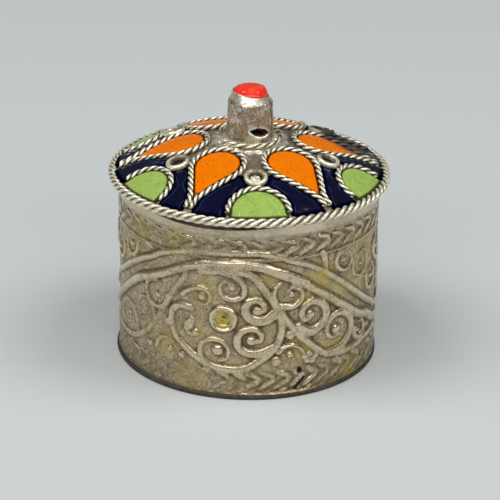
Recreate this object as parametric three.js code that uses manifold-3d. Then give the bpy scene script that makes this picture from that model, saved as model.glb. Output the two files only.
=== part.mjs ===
// Round silver box with a lift-off lid. The lid is a shallow dome of six-fold cloisonne enamel,
// with cells of twisted wire, a rope edge and a tubular finial that holds a coral.
// Units are millimetres, +Z is up, and the origin is the centre of the underside.
import * as THREE from "three";
import { mergeVertices } from "three/addons/utils/BufferGeometryUtils.js";
import Module from "manifold-3d";

const wasm = await Module();
wasm.setup();

// Driving sizes of the body
const bodyRadius = 19.0;
const bodyWallThickness = 0.7;
const bodyTopZ = 26.3;
const basePlateThickness = 0.7;
const solderGap = 0.05;

// Driving sizes of the chasing, whose ridges stand out from a sunk ground to the wall's full radius
const chaseDepth = 0.32;
const chaseRootDepth = 0.12;
const chaseSlope = 0.16;
const chaseStep = 0.04;
const footBandHeight = 0.4;
const rimBandHeight = 2.1;
const ribbonWidth = 0.9;
const medallionWidth = 1.05;
const stemWidth = 1.0;
const curlWidth = 0.95;
const leafWidth = 1.7;
const bossRadius = 1.72;
const bossRingWidth = 0.6;
const bossCupRadius = 0.8;
const facetTolerance = 0.03;

// Driving sizes of the lid
const lidLift = 0.2;
const bandInset = 0.1;
const plateThickness = 0.6;
const domeRise = 4.98;
const bandHeight = 0.966;
const finialSeatMargin = 0.25;
const collarThickness = 0.7;
const collarClearance = 0.2;
const collarDepth = 4.0;

// Driving sizes of the enamel and of the wires that part it
const enamelThickness = 0.33;
const cellClearance = 0.07;
const cellWireRadius = 0.35;
const cellWireLay = 1.2;
const rimRopeRadius = 0.66;
const rimRopeLift = 0.04;
const rimRopeLays = 88;
const finialRopeRadius = 0.4;
const finialRopeGap = 0.65;
const finialRopeLays = 22;

// Driving sizes of the pattern, which lies between the finial's rope and the rim
const petalFootGap = 0.75;
const wireEndInset = 0.3;
const petalTailLength = 1.6;
const petalTailOffset = 0.42;
const petalForkFillet = 0.6;
const archHalfWidth = 4.3;
const ringGap = 0.25;
const ringWallThickness = 0.5;
const ringHeight = 0.85;
const ringRounding = 0.15;

// Driving sizes of the finial
const finialTopRadius = 3.2;
const finialFlare = 0.25;
const finialWallThickness = 0.45;
const finialHeight = 6.8;
const finialLipHeight = 1.0;
const finialLipWidth = 0.3;
const finialLipInset = 0.1;
const finialLipSlant = 1.0;
const holeWidth = 3.1;
const holeHeight = 1.2;
const holeCentreHeight = 1.9;
const stoneEndGap = 0.23;
const stoneSideGap = 0.35;
const stoneSeatDepth = 0.05;
const stoneHeight = 2.5;
const bedThickness = 1.3;
const bedClearance = 0.06;
const cutOverrun = 1.5;
const weldDistance = 0.0005;

// Counts and angles
const roundSides = 48;
const domeRings = 4;
const finialSides = 30;
const smallSides = 12;
const halves = 2;
const ribbonSteps = 36;
const medallionSteps = 13;
const stemSteps = 11;
const leafSteps = 4;
const curlSteps = 5;
const bossSteps = 8;
const ridgeCorners = 4;
const stoneSides = 24;
const bays = 6;
const patternTurn = THREE.MathUtils.degToRad(4.5);
const holeTurn = THREE.MathUtils.degToRad(25);
const wireStepsPerTurn = 5;
const rimRopeStepsPerTurn = 5;
const arcSteps = 10;
const lengthSteps = 600;
const bay = (2 * Math.PI) / bays;

// The wires were bent and placed by hand: each petal and ring sits a little off its even place
const petalSwingDegrees = [1.6, -1.0, 0.5, -0.3, -1.0, -1.2];
const ringSwingDegrees = [0, 0.8, -0.4, 0.5, -0.5, 0.3];
const petalHeadShares = [1, 0.93, 0.98, 1, 1, 0.98];

// Where the heads and the rings lie along the petals' length
const petalHeadShare = 0.2934;
const ringPlaceShare = 0.49;

// Lines of the chasing on one half of the wall, which the other half repeats. A place is an angle in
// degrees, from the front towards +X, and a height as a share of the wall's top.
const outerRibbonShares = [
  [-97, 0.32], [-85, 0.44], [-70, 0.56], [-53, 0.69], [-40, 0.78], [-25, 0.83], [-1, 0.845],
  [18, 0.8], [35, 0.71], [50, 0.56], [64, 0.43],
];
const innerRibbonShares = [
  [-97, 0.235], [-85, 0.305], [-70, 0.435], [-53, 0.585], [-40, 0.65], [-25, 0.745], [-1, 0.78],
  [18, 0.71], [35, 0.585], [50, 0.445], [64, 0.34],
];
const medallionShares = [
  [-28, 0.69], [-19, 0.735], [-7, 0.74], [4, 0.715], [10, 0.61], [15, 0.42], [9, 0.27], [-3, 0.185],
  [-17, 0.19], [-29, 0.275], [-34, 0.42],
];
const stemShares = [
  [13, 0.53], [22, 0.395], [32, 0.26], [44, 0.19], [60, 0.195], [83, 0.19], [106, 0.2], [125, 0.225],
  [139, 0.38], [148, 0.58], [151, 0.66],
];
const leafShares = [[83, 0.4], [83, 0.58], [83, 0.76]];
const curlShares = [
  [[10, 0.49], [4, 0.45], [-1, 0.52], [2, 0.585], [8, 0.56]],
  [[10, 0.3], [2, 0.27], [-3, 0.33], [1, 0.405], [6, 0.38]],
  [[-3, 0.235], [-12, 0.24], [-19, 0.28], [-16, 0.355], [-9, 0.35]],
  [[25, 0.4], [34, 0.41], [36, 0.5], [29, 0.555], [24, 0.51]],
  [[42, 0.24], [50, 0.28], [49, 0.41], [41, 0.425], [37, 0.34]],
  [[-38, 0.48], [-45, 0.48], [-48, 0.55], [-43, 0.61], [-37, 0.58]],
  [[81, 0.46], [80, 0.58], [74, 0.64], [73, 0.72], [77, 0.74]],
  [[85, 0.46], [86, 0.58], [92, 0.64], [93, 0.72], [89, 0.74]],
];
const bossShares = [-10, 0.468];

// Shapes that no length sets
const leafNarrowingShare = 0.75;
const cupCrestShare = 0.6;
const strandFlatShare = 0.62;
const stoneSquareness = 2.4;
const stoneLevelShares = [
  { height: 0, width: 0.9 },
  { height: 0.44, width: 1 },
  { height: 0.67, width: 0.95 },
  { height: 0.87, width: 0.78 },
  { height: 1, width: 0.45 },
];

// Sizes that follow from the driving sizes
const bodyInnerRadius = bodyRadius - bodyWallThickness;
const chaseGroundRadius = bodyRadius - chaseDepth;
const chaseRootRadius = chaseGroundRadius - chaseRootDepth;
const bandOuterRadius = bodyRadius - bandInset;
const collarOuterRadius = bodyInnerRadius - collarClearance;
const bandInnerRadius = collarOuterRadius + solderGap;
const bandBottomZ = bodyTopZ + lidLift;
const bandTopZ = bandBottomZ + bandHeight;
const plateSphere = (bandOuterRadius ** 2 + domeRise ** 2) / (2 * domeRise);
const domeCentreZ = bandTopZ + domeRise - plateSphere;
const plateUnderSphere = plateSphere - plateThickness;
const enamelUnderSphere = plateSphere + solderGap;
const enamelSphere = enamelUnderSphere + enamelThickness;
const wireSphere = plateSphere + solderGap + cellWireRadius;
const finialFootRadius = finialTopRadius + finialFlare;
const finialBoreRadius = finialTopRadius - finialWallThickness;
const finialLipRadius = finialBoreRadius - finialLipInset;
const finialSeatRadius = finialFootRadius + finialSeatMargin;
const finialSeatZ = domeHeight(plateSphere, finialSeatRadius);
const finialFootZ = finialSeatZ + solderGap;
const lipZ = finialFootZ + finialHeight;
const shoulderZ = lipZ - finialLipHeight;
const stoneBaseZ = shoulderZ - stoneSeatDepth;
const finialRopeRing = finialFootRadius + finialRopeGap + finialRopeRadius;
const enamelRimRadius = bandOuterRadius - cellClearance;
const cellSetback = cellWireRadius + cellClearance;
const wireEndAt = bandOuterRadius - wireEndInset;
const petalFootAt = finialRopeRing + finialRopeRadius + petalFootGap;
const petalLength = wireEndAt - petalFootAt;
const petalHeadRadius = petalLength * petalHeadShare;
const petalHeadCentre = petalFootAt + cellWireRadius + petalHeadRadius;
const petalForkAt = wireEndAt - petalTailLength;
const ringCentreAt = petalFootAt + petalLength * ringPlaceShare;

// Height of a sphere round the centre of the dome, over the point at this radius
function domeHeight(sphereRadius, radius) {
  return domeCentreZ + Math.sqrt(sphereRadius ** 2 - radius ** 2);
}

// Arc of the dome's section, from one radius to another, in rings of equal width
function domeArc(sphereRadius, fromRadius, toRadius, rings) {
  const points = [];
  for (let i = 0; i <= rings; i += 1) {
    const radius = THREE.MathUtils.lerp(fromRadius, toRadius, i / rings);
    points.push(new THREE.Vector2(radius, domeHeight(sphereRadius, radius)));
  }
  return points;
}

// Solids and meshes
function positionsOnly(geometry) {
  const bare = geometry.clone();
  bare.deleteAttribute("normal");
  bare.deleteAttribute("uv");
  return mergeVertices(bare, weldDistance);
}

function toSolid(geometry) {
  const bare = positionsOnly(geometry);
  const triVerts = new Uint32Array(bare.index.array);
  const vertProperties = new Float32Array(bare.attributes.position.array);
  return new wasm.Manifold(new wasm.Mesh({ numProp: 3, vertProperties, triVerts }));
}

function toGeometry(solid) {
  const mesh = solid.getMesh();
  const geometry = new THREE.BufferGeometry();
  geometry.setAttribute("position", new THREE.BufferAttribute(mesh.vertProperties, 3));
  geometry.setIndex(new THREE.BufferAttribute(mesh.triVerts, 1));
  return geometry;
}

// Solid of revolution about +Z from a closed profile of (radius, height) points
function turned(profile, sides) {
  const closed = [...profile];
  const last = profile[profile.length - 1];
  const endsOnAxis = profile[0].x === 0 && last.x === 0;
  if (!endsOnAxis) closed.push(profile[0].clone());
  const geometry = new THREE.LatheGeometry(closed, sides);
  geometry.rotateX(Math.PI / 2);
  return geometry;
}

const point = (x, y) => new THREE.Vector2(x, y);

// Prism over a flat outline, from one height to another
function prism(outline, lowZ, highZ) {
  const shape = new THREE.Shape(outline);
  const geometry = new THREE.ExtrudeGeometry(shape, { depth: highZ - lowZ, bevelEnabled: false });
  geometry.translate(0, 0, lowZ);
  return geometry;
}

// Places on the lid. The pattern's angles run from the front (-Y) towards +X.
function placeOnLid(along, across, angle) {
  const x = along * Math.sin(angle) + across * Math.cos(angle);
  const y = across * Math.sin(angle) - along * Math.cos(angle);
  return point(x, y);
}

function turnOutline(outline, angle) {
  return outline.map((p) => placeOnLid(p.x, p.y, angle));
}

// A flat path laid on a sphere round the dome's centre
class LaidCurve extends THREE.Curve {
  constructor(path, angle, sphereRadius) {
    super();
    this.path = path;
    this.angle = angle;
    this.sphereRadius = sphereRadius;
    this.arcLengthDivisions = lengthSteps;
  }

  getPoint(t, target = new THREE.Vector3()) {
    const flat = this.path.getPoint(t);
    const onLid = placeOnLid(flat.x, flat.y, this.angle);
    return target.set(onLid.x, onLid.y, domeHeight(this.sphereRadius, onLid.length()));
  }

  outward(position) {
    return new THREE.Vector3(position.x, position.y, position.z - domeCentreZ).normalize();
  }
}

// A level circle for a rope that closes on itself
class LevelRing extends THREE.Curve {
  constructor(radius, height) {
    super();
    this.radius = radius;
    this.height = height;
    this.arcLengthDivisions = lengthSteps;
  }

  getPoint(t, target = new THREE.Vector3()) {
    const angle = 2 * Math.PI * t;
    return target.set(this.radius * Math.sin(angle), -this.radius * Math.cos(angle), this.height);
  }

  outward() {
    return new THREE.Vector3(0, 0, 1);
  }
}

// Two strands laid round each other: a section with two lobes that turns as it runs along.
// The lay leans the same way as on the rim: up to the right, seen from outside.
function twistedWire(curve, radius, turns, stepsPerTurn, closed) {
  const steps = Math.round(turns * stepsPerTurn);
  const rings = closed ? steps : steps + 1;
  const lobes = [radius, radius * strandFlatShare, radius, radius * strandFlatShare];
  const positions = [];
  for (let i = 0; i < rings; i += 1) {
    const share = i / steps;
    const centre = curve.getPointAt(share);
    const along = curve.getTangentAt(share);
    const outward = curve.outward(centre);
    const across = new THREE.Vector3().crossVectors(outward, along).normalize();
    const up = new THREE.Vector3().crossVectors(along, across);
    lobes.forEach((lobe, k) => {
      const angle = (k * Math.PI) / 2 - 2 * Math.PI * turns * share;
      const offset = across.clone().multiplyScalar(lobe * Math.cos(angle));
      offset.addScaledVector(up, lobe * Math.sin(angle));
      positions.push(...centre.clone().add(offset).toArray());
    });
  }
  return tubeFromRings(positions, rings, lobes.length, closed);
}

// Joins rings of points, in order, into one closed skin
function tubeFromRings(positions, rings, sides, closed) {
  const index = [];
  const spans = closed ? rings : rings - 1;
  for (let i = 0; i < spans; i += 1) {
    const here = i * sides;
    const next = ((i + 1) % rings) * sides;
    for (let k = 0; k < sides; k += 1) {
      const side = (k + 1) % sides;
      index.push(here + k, here + side, next + side, here + k, next + side, next + k);
    }
  }
  if (!closed) {
    const end = (rings - 1) * sides;
    for (let k = 1; k < sides - 1; k += 1) {
      index.push(0, k + 1, k, end, end + k, end + k + 1);
    }
  }
  const geometry = new THREE.BufferGeometry();
  geometry.setAttribute("position", new THREE.Float32BufferAttribute(positions, 3));
  geometry.setIndex(index);
  return geometry;
}

// A petal: a round head near the middle of the lid and two straight sides that meet at a fork,
// from which the two ends of its wire run on to the rim side by side
class Petal {
  constructor(headRadius) {
    const reach = petalForkAt - petalHeadCentre;
    const lean = Math.asin(headRadius / Math.hypot(reach, petalTailOffset));
    this.headRadius = headRadius;
    this.sideLean = lean - Math.atan(petalTailOffset / reach);
    this.headFrom = Math.PI / 2 - this.sideLean;
  }

  head(offset) {
    const radius = this.headRadius + offset;
    const points = [];
    for (let i = 0; i <= arcSteps; i += 1) {
      const angle = THREE.MathUtils.lerp(this.headFrom, 2 * Math.PI - this.headFrom, i / arcSteps);
      points.push(point(petalHeadCentre + radius * Math.cos(angle), radius * Math.sin(angle)));
    }
    return points;
  }

  // How far the wire's line lies from the petal's axis, at a place along that axis
  halfWidth(along) {
    const sideFrom = petalHeadCentre + this.headRadius * Math.sin(this.sideLean);
    if (along > sideFrom) return petalTailOffset + (petalForkAt - along) * Math.tan(this.sideLean);
    return Math.sqrt(this.headRadius ** 2 - (along - petalHeadCentre) ** 2);
  }

  // The wire's own line, from one end at the rim round the head to the other
  wirePath() {
    const headStart = this.head(0)[0];
    const sideX = petalForkAt - petalForkFillet * Math.cos(this.sideLean);
    const sideY = petalTailOffset + petalForkFillet * Math.sin(this.sideLean);
    const tailX = petalForkAt + petalForkFillet;
    const path = new THREE.Path();
    path.moveTo(wireEndAt, petalTailOffset);
    path.lineTo(tailX, petalTailOffset);
    path.quadraticCurveTo(petalForkAt, petalTailOffset, sideX, sideY);
    path.lineTo(headStart.x, headStart.y);
    path.absarc(petalHeadCentre, 0, this.headRadius, this.headFrom, 2 * Math.PI - this.headFrom);
    path.lineTo(sideX, -sideY);
    path.quadraticCurveTo(petalForkAt, -petalTailOffset, tailX, -petalTailOffset);
    path.lineTo(wireEndAt, -petalTailOffset);
    return path;
  }

  // The enamel inside stops short of the wire and comes to a point
  enamelOutline() {
    const sidesMeetAt = petalForkAt + petalTailOffset / Math.tan(this.sideLean);
    const tipAt = sidesMeetAt - cellSetback / Math.sin(this.sideLean);
    return [point(tipAt, 0), ...this.head(-cellSetback)];
  }

  // What the navy fields leave free for the petal, its wire and its tails
  clearOutline() {
    const past = bandOuterRadius + cutOverrun;
    const tail = petalTailOffset + cellSetback;
    const mitre = petalForkAt + cellSetback * Math.tan(this.sideLean / 2);
    return [
      point(past, -tail),
      point(past, tail),
      point(mitre, tail),
      ...this.head(cellSetback),
      point(mitre, -tail),
    ];
  }
}

// A ring fills the room between two petals, and an arch stands between the ring and the rim
const ringBesideAt = ringCentreAt * Math.cos(bay / 2);
const ringRoom = ringCentreAt * Math.sin(bay / 2) - new Petal(petalHeadRadius).halfWidth(ringBesideAt);
const ringOuterRadius = ringRoom - cellWireRadius - ringGap;
const archApex = ringCentreAt + ringOuterRadius + cellClearance + cellWireRadius;

// An arch is half an ellipse that stands on the rim
const archFootAt = Math.sqrt(wireEndAt ** 2 - archHalfWidth ** 2);

function archWirePath() {
  const path = new THREE.Path();
  const depth = archFootAt - archApex;
  path.absellipse(archFootAt, 0, depth, archHalfWidth, Math.PI / 2, (3 * Math.PI) / 2, false, 0);
  return path;
}

// The same half ellipse, wider or narrower all round, with straight legs to past the rim
function archOutline(offset) {
  const past = bandOuterRadius + cutOverrun;
  const depth = archFootAt - archApex + offset;
  const halfWidth = archHalfWidth + offset;
  const points = [];
  for (let i = 0; i <= arcSteps; i += 1) {
    const angle = THREE.MathUtils.lerp(Math.PI / 2, (3 * Math.PI) / 2, i / arcSteps);
    points.push(point(archFootAt + depth * Math.cos(angle), halfWidth * Math.sin(angle)));
  }
  return [point(past, halfWidth), ...points, point(past, -halfWidth)];
}

// The layer of glass over the whole dome, which each cell is cut from
function enamelLayer(fromRadius) {
  const under = domeArc(enamelUnderSphere, fromRadius, enamelRimRadius, domeRings);
  const top = domeArc(enamelSphere, enamelRimRadius, fromRadius, domeRings);
  return toSolid(turned([...under, ...top], roundSides));
}

const cellLowZ = bandBottomZ;
const cellHighZ = finialSeatZ + finialHeight;

function cellPrism(outline, angle) {
  return toSolid(prism(turnOutline(outline, angle), cellLowZ, cellHighZ));
}

// Places on the wall, at an angle from the front (-Y) towards +X
function placeOnWall(radius, angle, height) {
  return new THREE.Vector3(radius * Math.sin(angle), -radius * Math.cos(angle), height);
}

function chasedPlace([degrees, heightShare]) {
  const angle = THREE.MathUtils.degToRad(degrees);
  return placeOnWall(chaseGroundRadius, angle, heightShare * bodyTopZ);
}

// A line of the chasing, which runs smoothly through its places
function chasedLine(shares) {
  return new THREE.CatmullRomCurve3(shares.map(chasedPlace));
}

// A ribbon goes all the way round: its places, and the same places half a turn on
function ribbonLine(shares) {
  const places = shares.map(chasedPlace);
  const opposite = places.map((place) => place.clone().multiply(new THREE.Vector3(-1, -1, 1)));
  return new THREE.CatmullRomCurve3([...places, ...opposite], true);
}

// A circle on the wall, round a place
class RoundLine extends THREE.Curve {
  constructor([degrees, heightShare], radius) {
    super();
    this.angle = THREE.MathUtils.degToRad(degrees);
    this.height = heightShare * bodyTopZ;
    this.radius = radius;
  }

  getPoint(t) {
    const turn = 2 * Math.PI * t;
    const aside = (this.radius * Math.cos(turn)) / chaseGroundRadius;
    const height = this.height + this.radius * Math.sin(turn);
    return placeOnWall(chaseGroundRadius, this.angle + aside, height);
  }
}

// A ridge along a line: a flat crest, sloping sides, and a foot that is sunk in the ground.
// A leaf narrows towards its ends, by a share of its width.
function ridge(line, width, crestRadius, steps, closed, narrowingShare = 0) {
  const rings = closed ? steps : steps + 1;
  const positions = [];
  for (let i = 0; i < rings; i += 1) {
    const fromMiddle = (2 * i) / steps - 1;
    const half = (width / 2) * (1 - narrowingShare * fromMiddle ** 2);
    const section = [
      { aside: -half - chaseSlope, radius: chaseRootRadius },
      { aside: -half, radius: crestRadius },
      { aside: half, radius: crestRadius },
      { aside: half + chaseSlope, radius: chaseRootRadius },
    ];
    const centre = line.getPointAt(i / steps);
    const along = line.getTangentAt(i / steps);
    const outward = new THREE.Vector3(centre.x, centre.y, 0).normalize();
    const across = new THREE.Vector3().crossVectors(along, outward).normalize();
    section.forEach((corner) => {
      const beside = centre.clone().addScaledVector(across, corner.aside);
      const flat = point(beside.x, beside.y).setLength(corner.radius);
      positions.push(flat.x, flat.y, beside.z);
    });
  }
  return toSolid(tubeFromRings(positions, rings, ridgeCorners, closed));
}

// The cup in the middle of the boss, which narrows towards its crest
function bossCup() {
  const profile = [
    point(0, chaseRootRadius),
    point(bossCupRadius, chaseRootRadius),
    point(bossCupRadius * cupCrestShare, bodyRadius - chaseStep),
    point(0, bodyRadius - chaseStep),
  ];
  const [degrees, heightShare] = bossShares;
  const geometry = turned(profile, bossSteps);
  geometry.rotateX(Math.PI / 2);
  geometry.rotateZ(THREE.MathUtils.degToRad(degrees));
  geometry.translate(0, 0, heightShare * bodyTopZ);
  return toSolid(geometry);
}

// All ridges of the chasing. Lines that run into each other have crests a step apart.
function chasing() {
  const stemCrest = bodyRadius - chaseStep;
  const curlCrest = stemCrest - chaseStep;
  const half = [
    ridge(chasedLine(medallionShares), medallionWidth, bodyRadius, medallionSteps, false),
    ridge(chasedLine(stemShares), stemWidth, stemCrest, stemSteps, false),
    ridge(new RoundLine(bossShares, bossRadius), bossRingWidth, bodyRadius, bossSteps, true),
    bossCup(),
    ridge(chasedLine(leafShares), leafWidth, stemCrest, leafSteps, false, leafNarrowingShare),
    ...curlShares.map((shares) => ridge(chasedLine(shares), curlWidth, curlCrest, curlSteps, false)),
  ];
  const halfTurn = THREE.MathUtils.radToDeg((2 * Math.PI) / halves);
  const opposite = half.map((solid) => solid.rotate([0, 0, halfTurn]));
  const ribbons = [outerRibbonShares, innerRibbonShares].map((shares) =>
    ridge(ribbonLine(shares), ribbonWidth, bodyRadius, ribbonSteps, true),
  );
  return wasm.Manifold.union([...half, ...opposite, ...ribbons]);
}

// Body: a chased wall between two plain bands
function bodyWall() {
  const foot = basePlateThickness + solderGap;
  const footBandTop = foot + footBandHeight;
  const rimBandFoot = bodyTopZ - rimBandHeight;
  const profile = [
    point(bodyInnerRadius, foot),
    point(bodyRadius, foot),
    point(bodyRadius, footBandTop),
    point(chaseGroundRadius, footBandTop + chaseSlope),
    point(chaseGroundRadius, rimBandFoot - chaseSlope),
    point(bodyRadius, rimBandFoot),
    point(bodyRadius, bodyTopZ),
    point(bodyInnerRadius, bodyTopZ),
  ];
  const wall = toSolid(turned(profile, roundSides)).add(chasing());
  return toGeometry(wall.asOriginal().simplify(facetTolerance));
}

function basePlate() {
  const profile = [
    point(0, 0),
    point(bodyRadius, 0),
    point(bodyRadius, basePlateThickness),
    point(0, basePlateThickness),
  ];
  return turned(profile, roundSides);
}

// Lid: a dome with a flat seat for the finial and a short band turned down at its edge
function lidPlate() {
  const seatUnderZ = domeHeight(plateUnderSphere, finialSeatRadius);
  const bandMeetsDome = domeArc(plateUnderSphere, finialSeatRadius, bandInnerRadius, domeRings);
  const profile = [
    point(0, seatUnderZ),
    ...bandMeetsDome,
    point(bandInnerRadius, bandBottomZ),
    point(bandOuterRadius, bandBottomZ),
    ...domeArc(plateSphere, bandOuterRadius, finialSeatRadius, domeRings),
    point(0, finialSeatZ),
  ];
  return turned(profile, roundSides);
}

function lidCollar() {
  const inner = collarOuterRadius - collarThickness;
  const top = domeHeight(plateUnderSphere, collarOuterRadius) - solderGap;
  const bottom = bandBottomZ - collarDepth;
  const profile = [
    point(inner, bottom),
    point(collarOuterRadius, bottom),
    point(collarOuterRadius, top),
    point(inner, top),
  ];
  return turned(profile, roundSides);
}

function lidRimRope() {
  const ring = bandOuterRadius + solderGap + rimRopeRadius;
  const height = bandBottomZ + rimRopeLift + rimRopeRadius;
  const curve = new LevelRing(ring, height);
  return twistedWire(curve, rimRopeRadius, rimRopeLays / 2, rimRopeStepsPerTurn, true);
}

function finialRope() {
  const restsAt = domeHeight(plateSphere, finialRopeRing - finialRopeRadius);
  const curve = new LevelRing(finialRopeRing, restsAt + solderGap + finialRopeRadius);
  return twistedWire(curve, finialRopeRadius, finialRopeLays / 2, wireStepsPerTurn, true);
}

// Finial: a tapered tube with an inward lip, which was burnished down on a slant
function slantLip(geometry) {
  const position = geometry.attributes.position;
  for (let i = 0; i < position.count; i += 1) {
    const rise = (position.getZ(i) - shoulderZ) / finialLipHeight;
    if (rise > 0) {
      const lean = (position.getX(i) / finialTopRadius) * (finialLipSlant / 2);
      position.setZ(i, position.getZ(i) - lean * rise);
    }
  }
}

// Almond-shaped hole near the foot, cut through one side of the tube only
function almondHole() {
  const half = holeWidth / 2;
  const shape = new THREE.Shape();
  shape.moveTo(-half, 0);
  shape.quadraticCurveTo(0, holeHeight, half, 0);
  shape.quadraticCurveTo(0, -holeHeight, -half, 0);
  const options = { depth: finialFootRadius, bevelEnabled: false, curveSegments: arcSteps };
  const geometry = new THREE.ExtrudeGeometry(shape, options);
  geometry.translate(0, 0, cutOverrun);
  geometry.rotateX(Math.PI / 2);
  geometry.rotateZ(holeTurn);
  geometry.translate(0, 0, finialFootZ + holeCentreHeight);
  return geometry;
}

function finialTube() {
  const profile = [
    point(finialBoreRadius, finialFootZ),
    point(finialFootRadius, finialFootZ),
    point(finialTopRadius, shoulderZ),
    point(finialLipRadius + finialLipWidth, lipZ),
    point(finialLipRadius, lipZ),
    point(finialBoreRadius, shoulderZ),
  ];
  const tube = turned(profile, finialSides);
  slantLip(tube);
  return toGeometry(toSolid(tube).subtract(toSolid(almondHole())));
}

function stoneBed() {
  const radius = finialBoreRadius - bedClearance;
  const top = stoneBaseZ - bedClearance;
  const profile = [
    point(0, top - bedThickness),
    point(radius, top - bedThickness),
    point(radius, top),
    point(0, top),
  ];
  return turned(profile, finialSides);
}

// Coral: a cushion-shaped cabochon, a little longer than it is wide
function coralCabochon() {
  const halfLength = finialLipRadius - stoneEndGap;
  const halfWidth = finialLipRadius - stoneSideGap;
  const positions = [];
  stoneLevelShares.forEach((level) => {
    for (let k = 0; k < stoneSides; k += 1) {
      const angle = (2 * Math.PI * k) / stoneSides;
      const cos = Math.cos(angle);
      const sin = Math.sin(angle);
      const reach = (Math.abs(cos) ** stoneSquareness + Math.abs(sin) ** stoneSquareness) **
        (-1 / stoneSquareness);
      const x = halfLength * level.width * reach * cos;
      const y = halfWidth * level.width * reach * sin;
      positions.push(x, y, stoneBaseZ + stoneHeight * level.height);
    }
  });
  return tubeFromRings(positions, stoneLevelShares.length, stoneSides, false);
}

// Cells of the lid
function cellWire(path, angle) {
  const curve = new LaidCurve(path, angle, wireSphere);
  const turns = Math.round(curve.getLength() / cellWireLay) / 2;
  return twistedWire(curve, cellWireRadius, turns, wireStepsPerTurn, false);
}

function petalEnamel(layer, petal, angle) {
  return toGeometry(layer.intersect(cellPrism(petal.enamelOutline(), angle)));
}

function archEnamel(layer, angle) {
  return toGeometry(layer.intersect(cellPrism(archOutline(-cellSetback), angle)));
}

// The room that the navy fields leave for a ring
function ringSpace(ringAngle) {
  const radius = ringOuterRadius + 2 * cellClearance;
  const post = turned(
    [point(0, cellLowZ), point(radius, cellLowZ), point(radius, cellHighZ), point(0, cellHighZ)],
    smallSides,
  );
  const centre = placeOnLid(ringCentreAt, 0, ringAngle);
  post.translate(centre.x, centre.y, 0);
  return toSolid(post);
}

// A navy field fills the space between an arch, the petal beside it, the ring and the rim
function fieldEnamel(layer, ringAngle, petal, petalAngle) {
  const past = bandOuterRadius + cutOverrun;
  const wedge = [
    placeOnLid(ringCentreAt, 0, ringAngle),
    placeOnLid(past, 0, ringAngle),
    placeOnLid(past, 0, petalAngle),
    placeOnLid(ringCentreAt, 0, petalAngle),
  ];
  const cell = layer
    .intersect(toSolid(prism(wedge, cellLowZ, cellHighZ)))
    .subtract(cellPrism(petal.clearOutline(), petalAngle))
    .subtract(cellPrism(archOutline(cellSetback), ringAngle))
    .subtract(ringSpace(ringAngle));
  return toGeometry(cell);
}

// A plain ring, which stands square to the dome
function plainRing() {
  const inner = ringOuterRadius - ringWallThickness;
  const profile = [
    point(inner, 0),
    point(ringOuterRadius, 0),
    point(ringOuterRadius, ringHeight - ringRounding),
    point(ringOuterRadius - ringRounding, ringHeight),
    point(inner + ringRounding, ringHeight),
    point(inner, ringHeight - ringRounding),
  ];
  return turned(profile, smallSides);
}

// Finishes
const silver = () => new THREE.MeshStandardMaterial({ color: 0xa9a298, roughness: 0.42, metalness: 1 });
const brightSilver = () =>
  new THREE.MeshStandardMaterial({ color: 0xd8d4c9, roughness: 0.3, metalness: 1 });
const orangeEnamel = () =>
  new THREE.MeshStandardMaterial({ color: 0xf5840f, roughness: 0.22, metalness: 0 });
const greenEnamel = () =>
  new THREE.MeshStandardMaterial({ color: 0x9bc75c, roughness: 0.3, metalness: 0 });
const navyEnamel = () =>
  new THREE.MeshStandardMaterial({ color: 0x0c0f3c, roughness: 0.12, metalness: 0 });
const coral = () => new THREE.MeshStandardMaterial({ color: 0xe83a2b, roughness: 0.2, metalness: 0 });
const packing = () => new THREE.MeshStandardMaterial({ color: 0x3a2c20, roughness: 0.9, metalness: 0 });

// Assembly
const box = new THREE.Group();
const bodyGroup = new THREE.Group();
const lidGroup = new THREE.Group();
box.add(bodyGroup, lidGroup);

function addPiece(group, name, geometry, material) {
  const mesh = new THREE.Mesh(geometry, material);
  mesh.name = name;
  group.add(mesh);
  return mesh;
}

addPiece(bodyGroup, "body_wall", bodyWall(), silver());
addPiece(bodyGroup, "base_plate", basePlate(), silver());
addPiece(lidGroup, "lid_plate", lidPlate(), silver());
addPiece(lidGroup, "lid_collar", lidCollar(), silver());
addPiece(lidGroup, "lid_rim_rope", lidRimRope(), brightSilver());
addPiece(lidGroup, "finial_tube", finialTube(), silver());
addPiece(lidGroup, "finial_rope", finialRope(), brightSilver());
addPiece(lidGroup, "stone_bed", stoneBed(), packing());
addPiece(lidGroup, "coral_cabochon", coralCabochon(), coral());

function addRing(name, angle) {
  const ring = addPiece(lidGroup, name, plainRing(), brightSilver());
  const foot = plateSphere + solderGap;
  const lean = Math.asin(ringCentreAt / foot);
  const centre = placeOnLid(ringCentreAt, 0, angle);
  ring.rotation.set(lean, 0, angle, "ZXY");
  ring.position.set(centre.x, centre.y, domeHeight(foot, ringCentreAt));
}

const layer = enamelLayer(finialSeatRadius);
const petals = petalHeadShares.map((share) => new Petal(petalHeadRadius * share));
const toRadians = THREE.MathUtils.degToRad;
const ringAngles = ringSwingDegrees.map((swing, i) => patternTurn + i * bay + toRadians(swing));
const petalAngles = petalSwingDegrees.map(
  (swing, i) => patternTurn + (i + 1 / 2) * bay + toRadians(swing),
);

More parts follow.
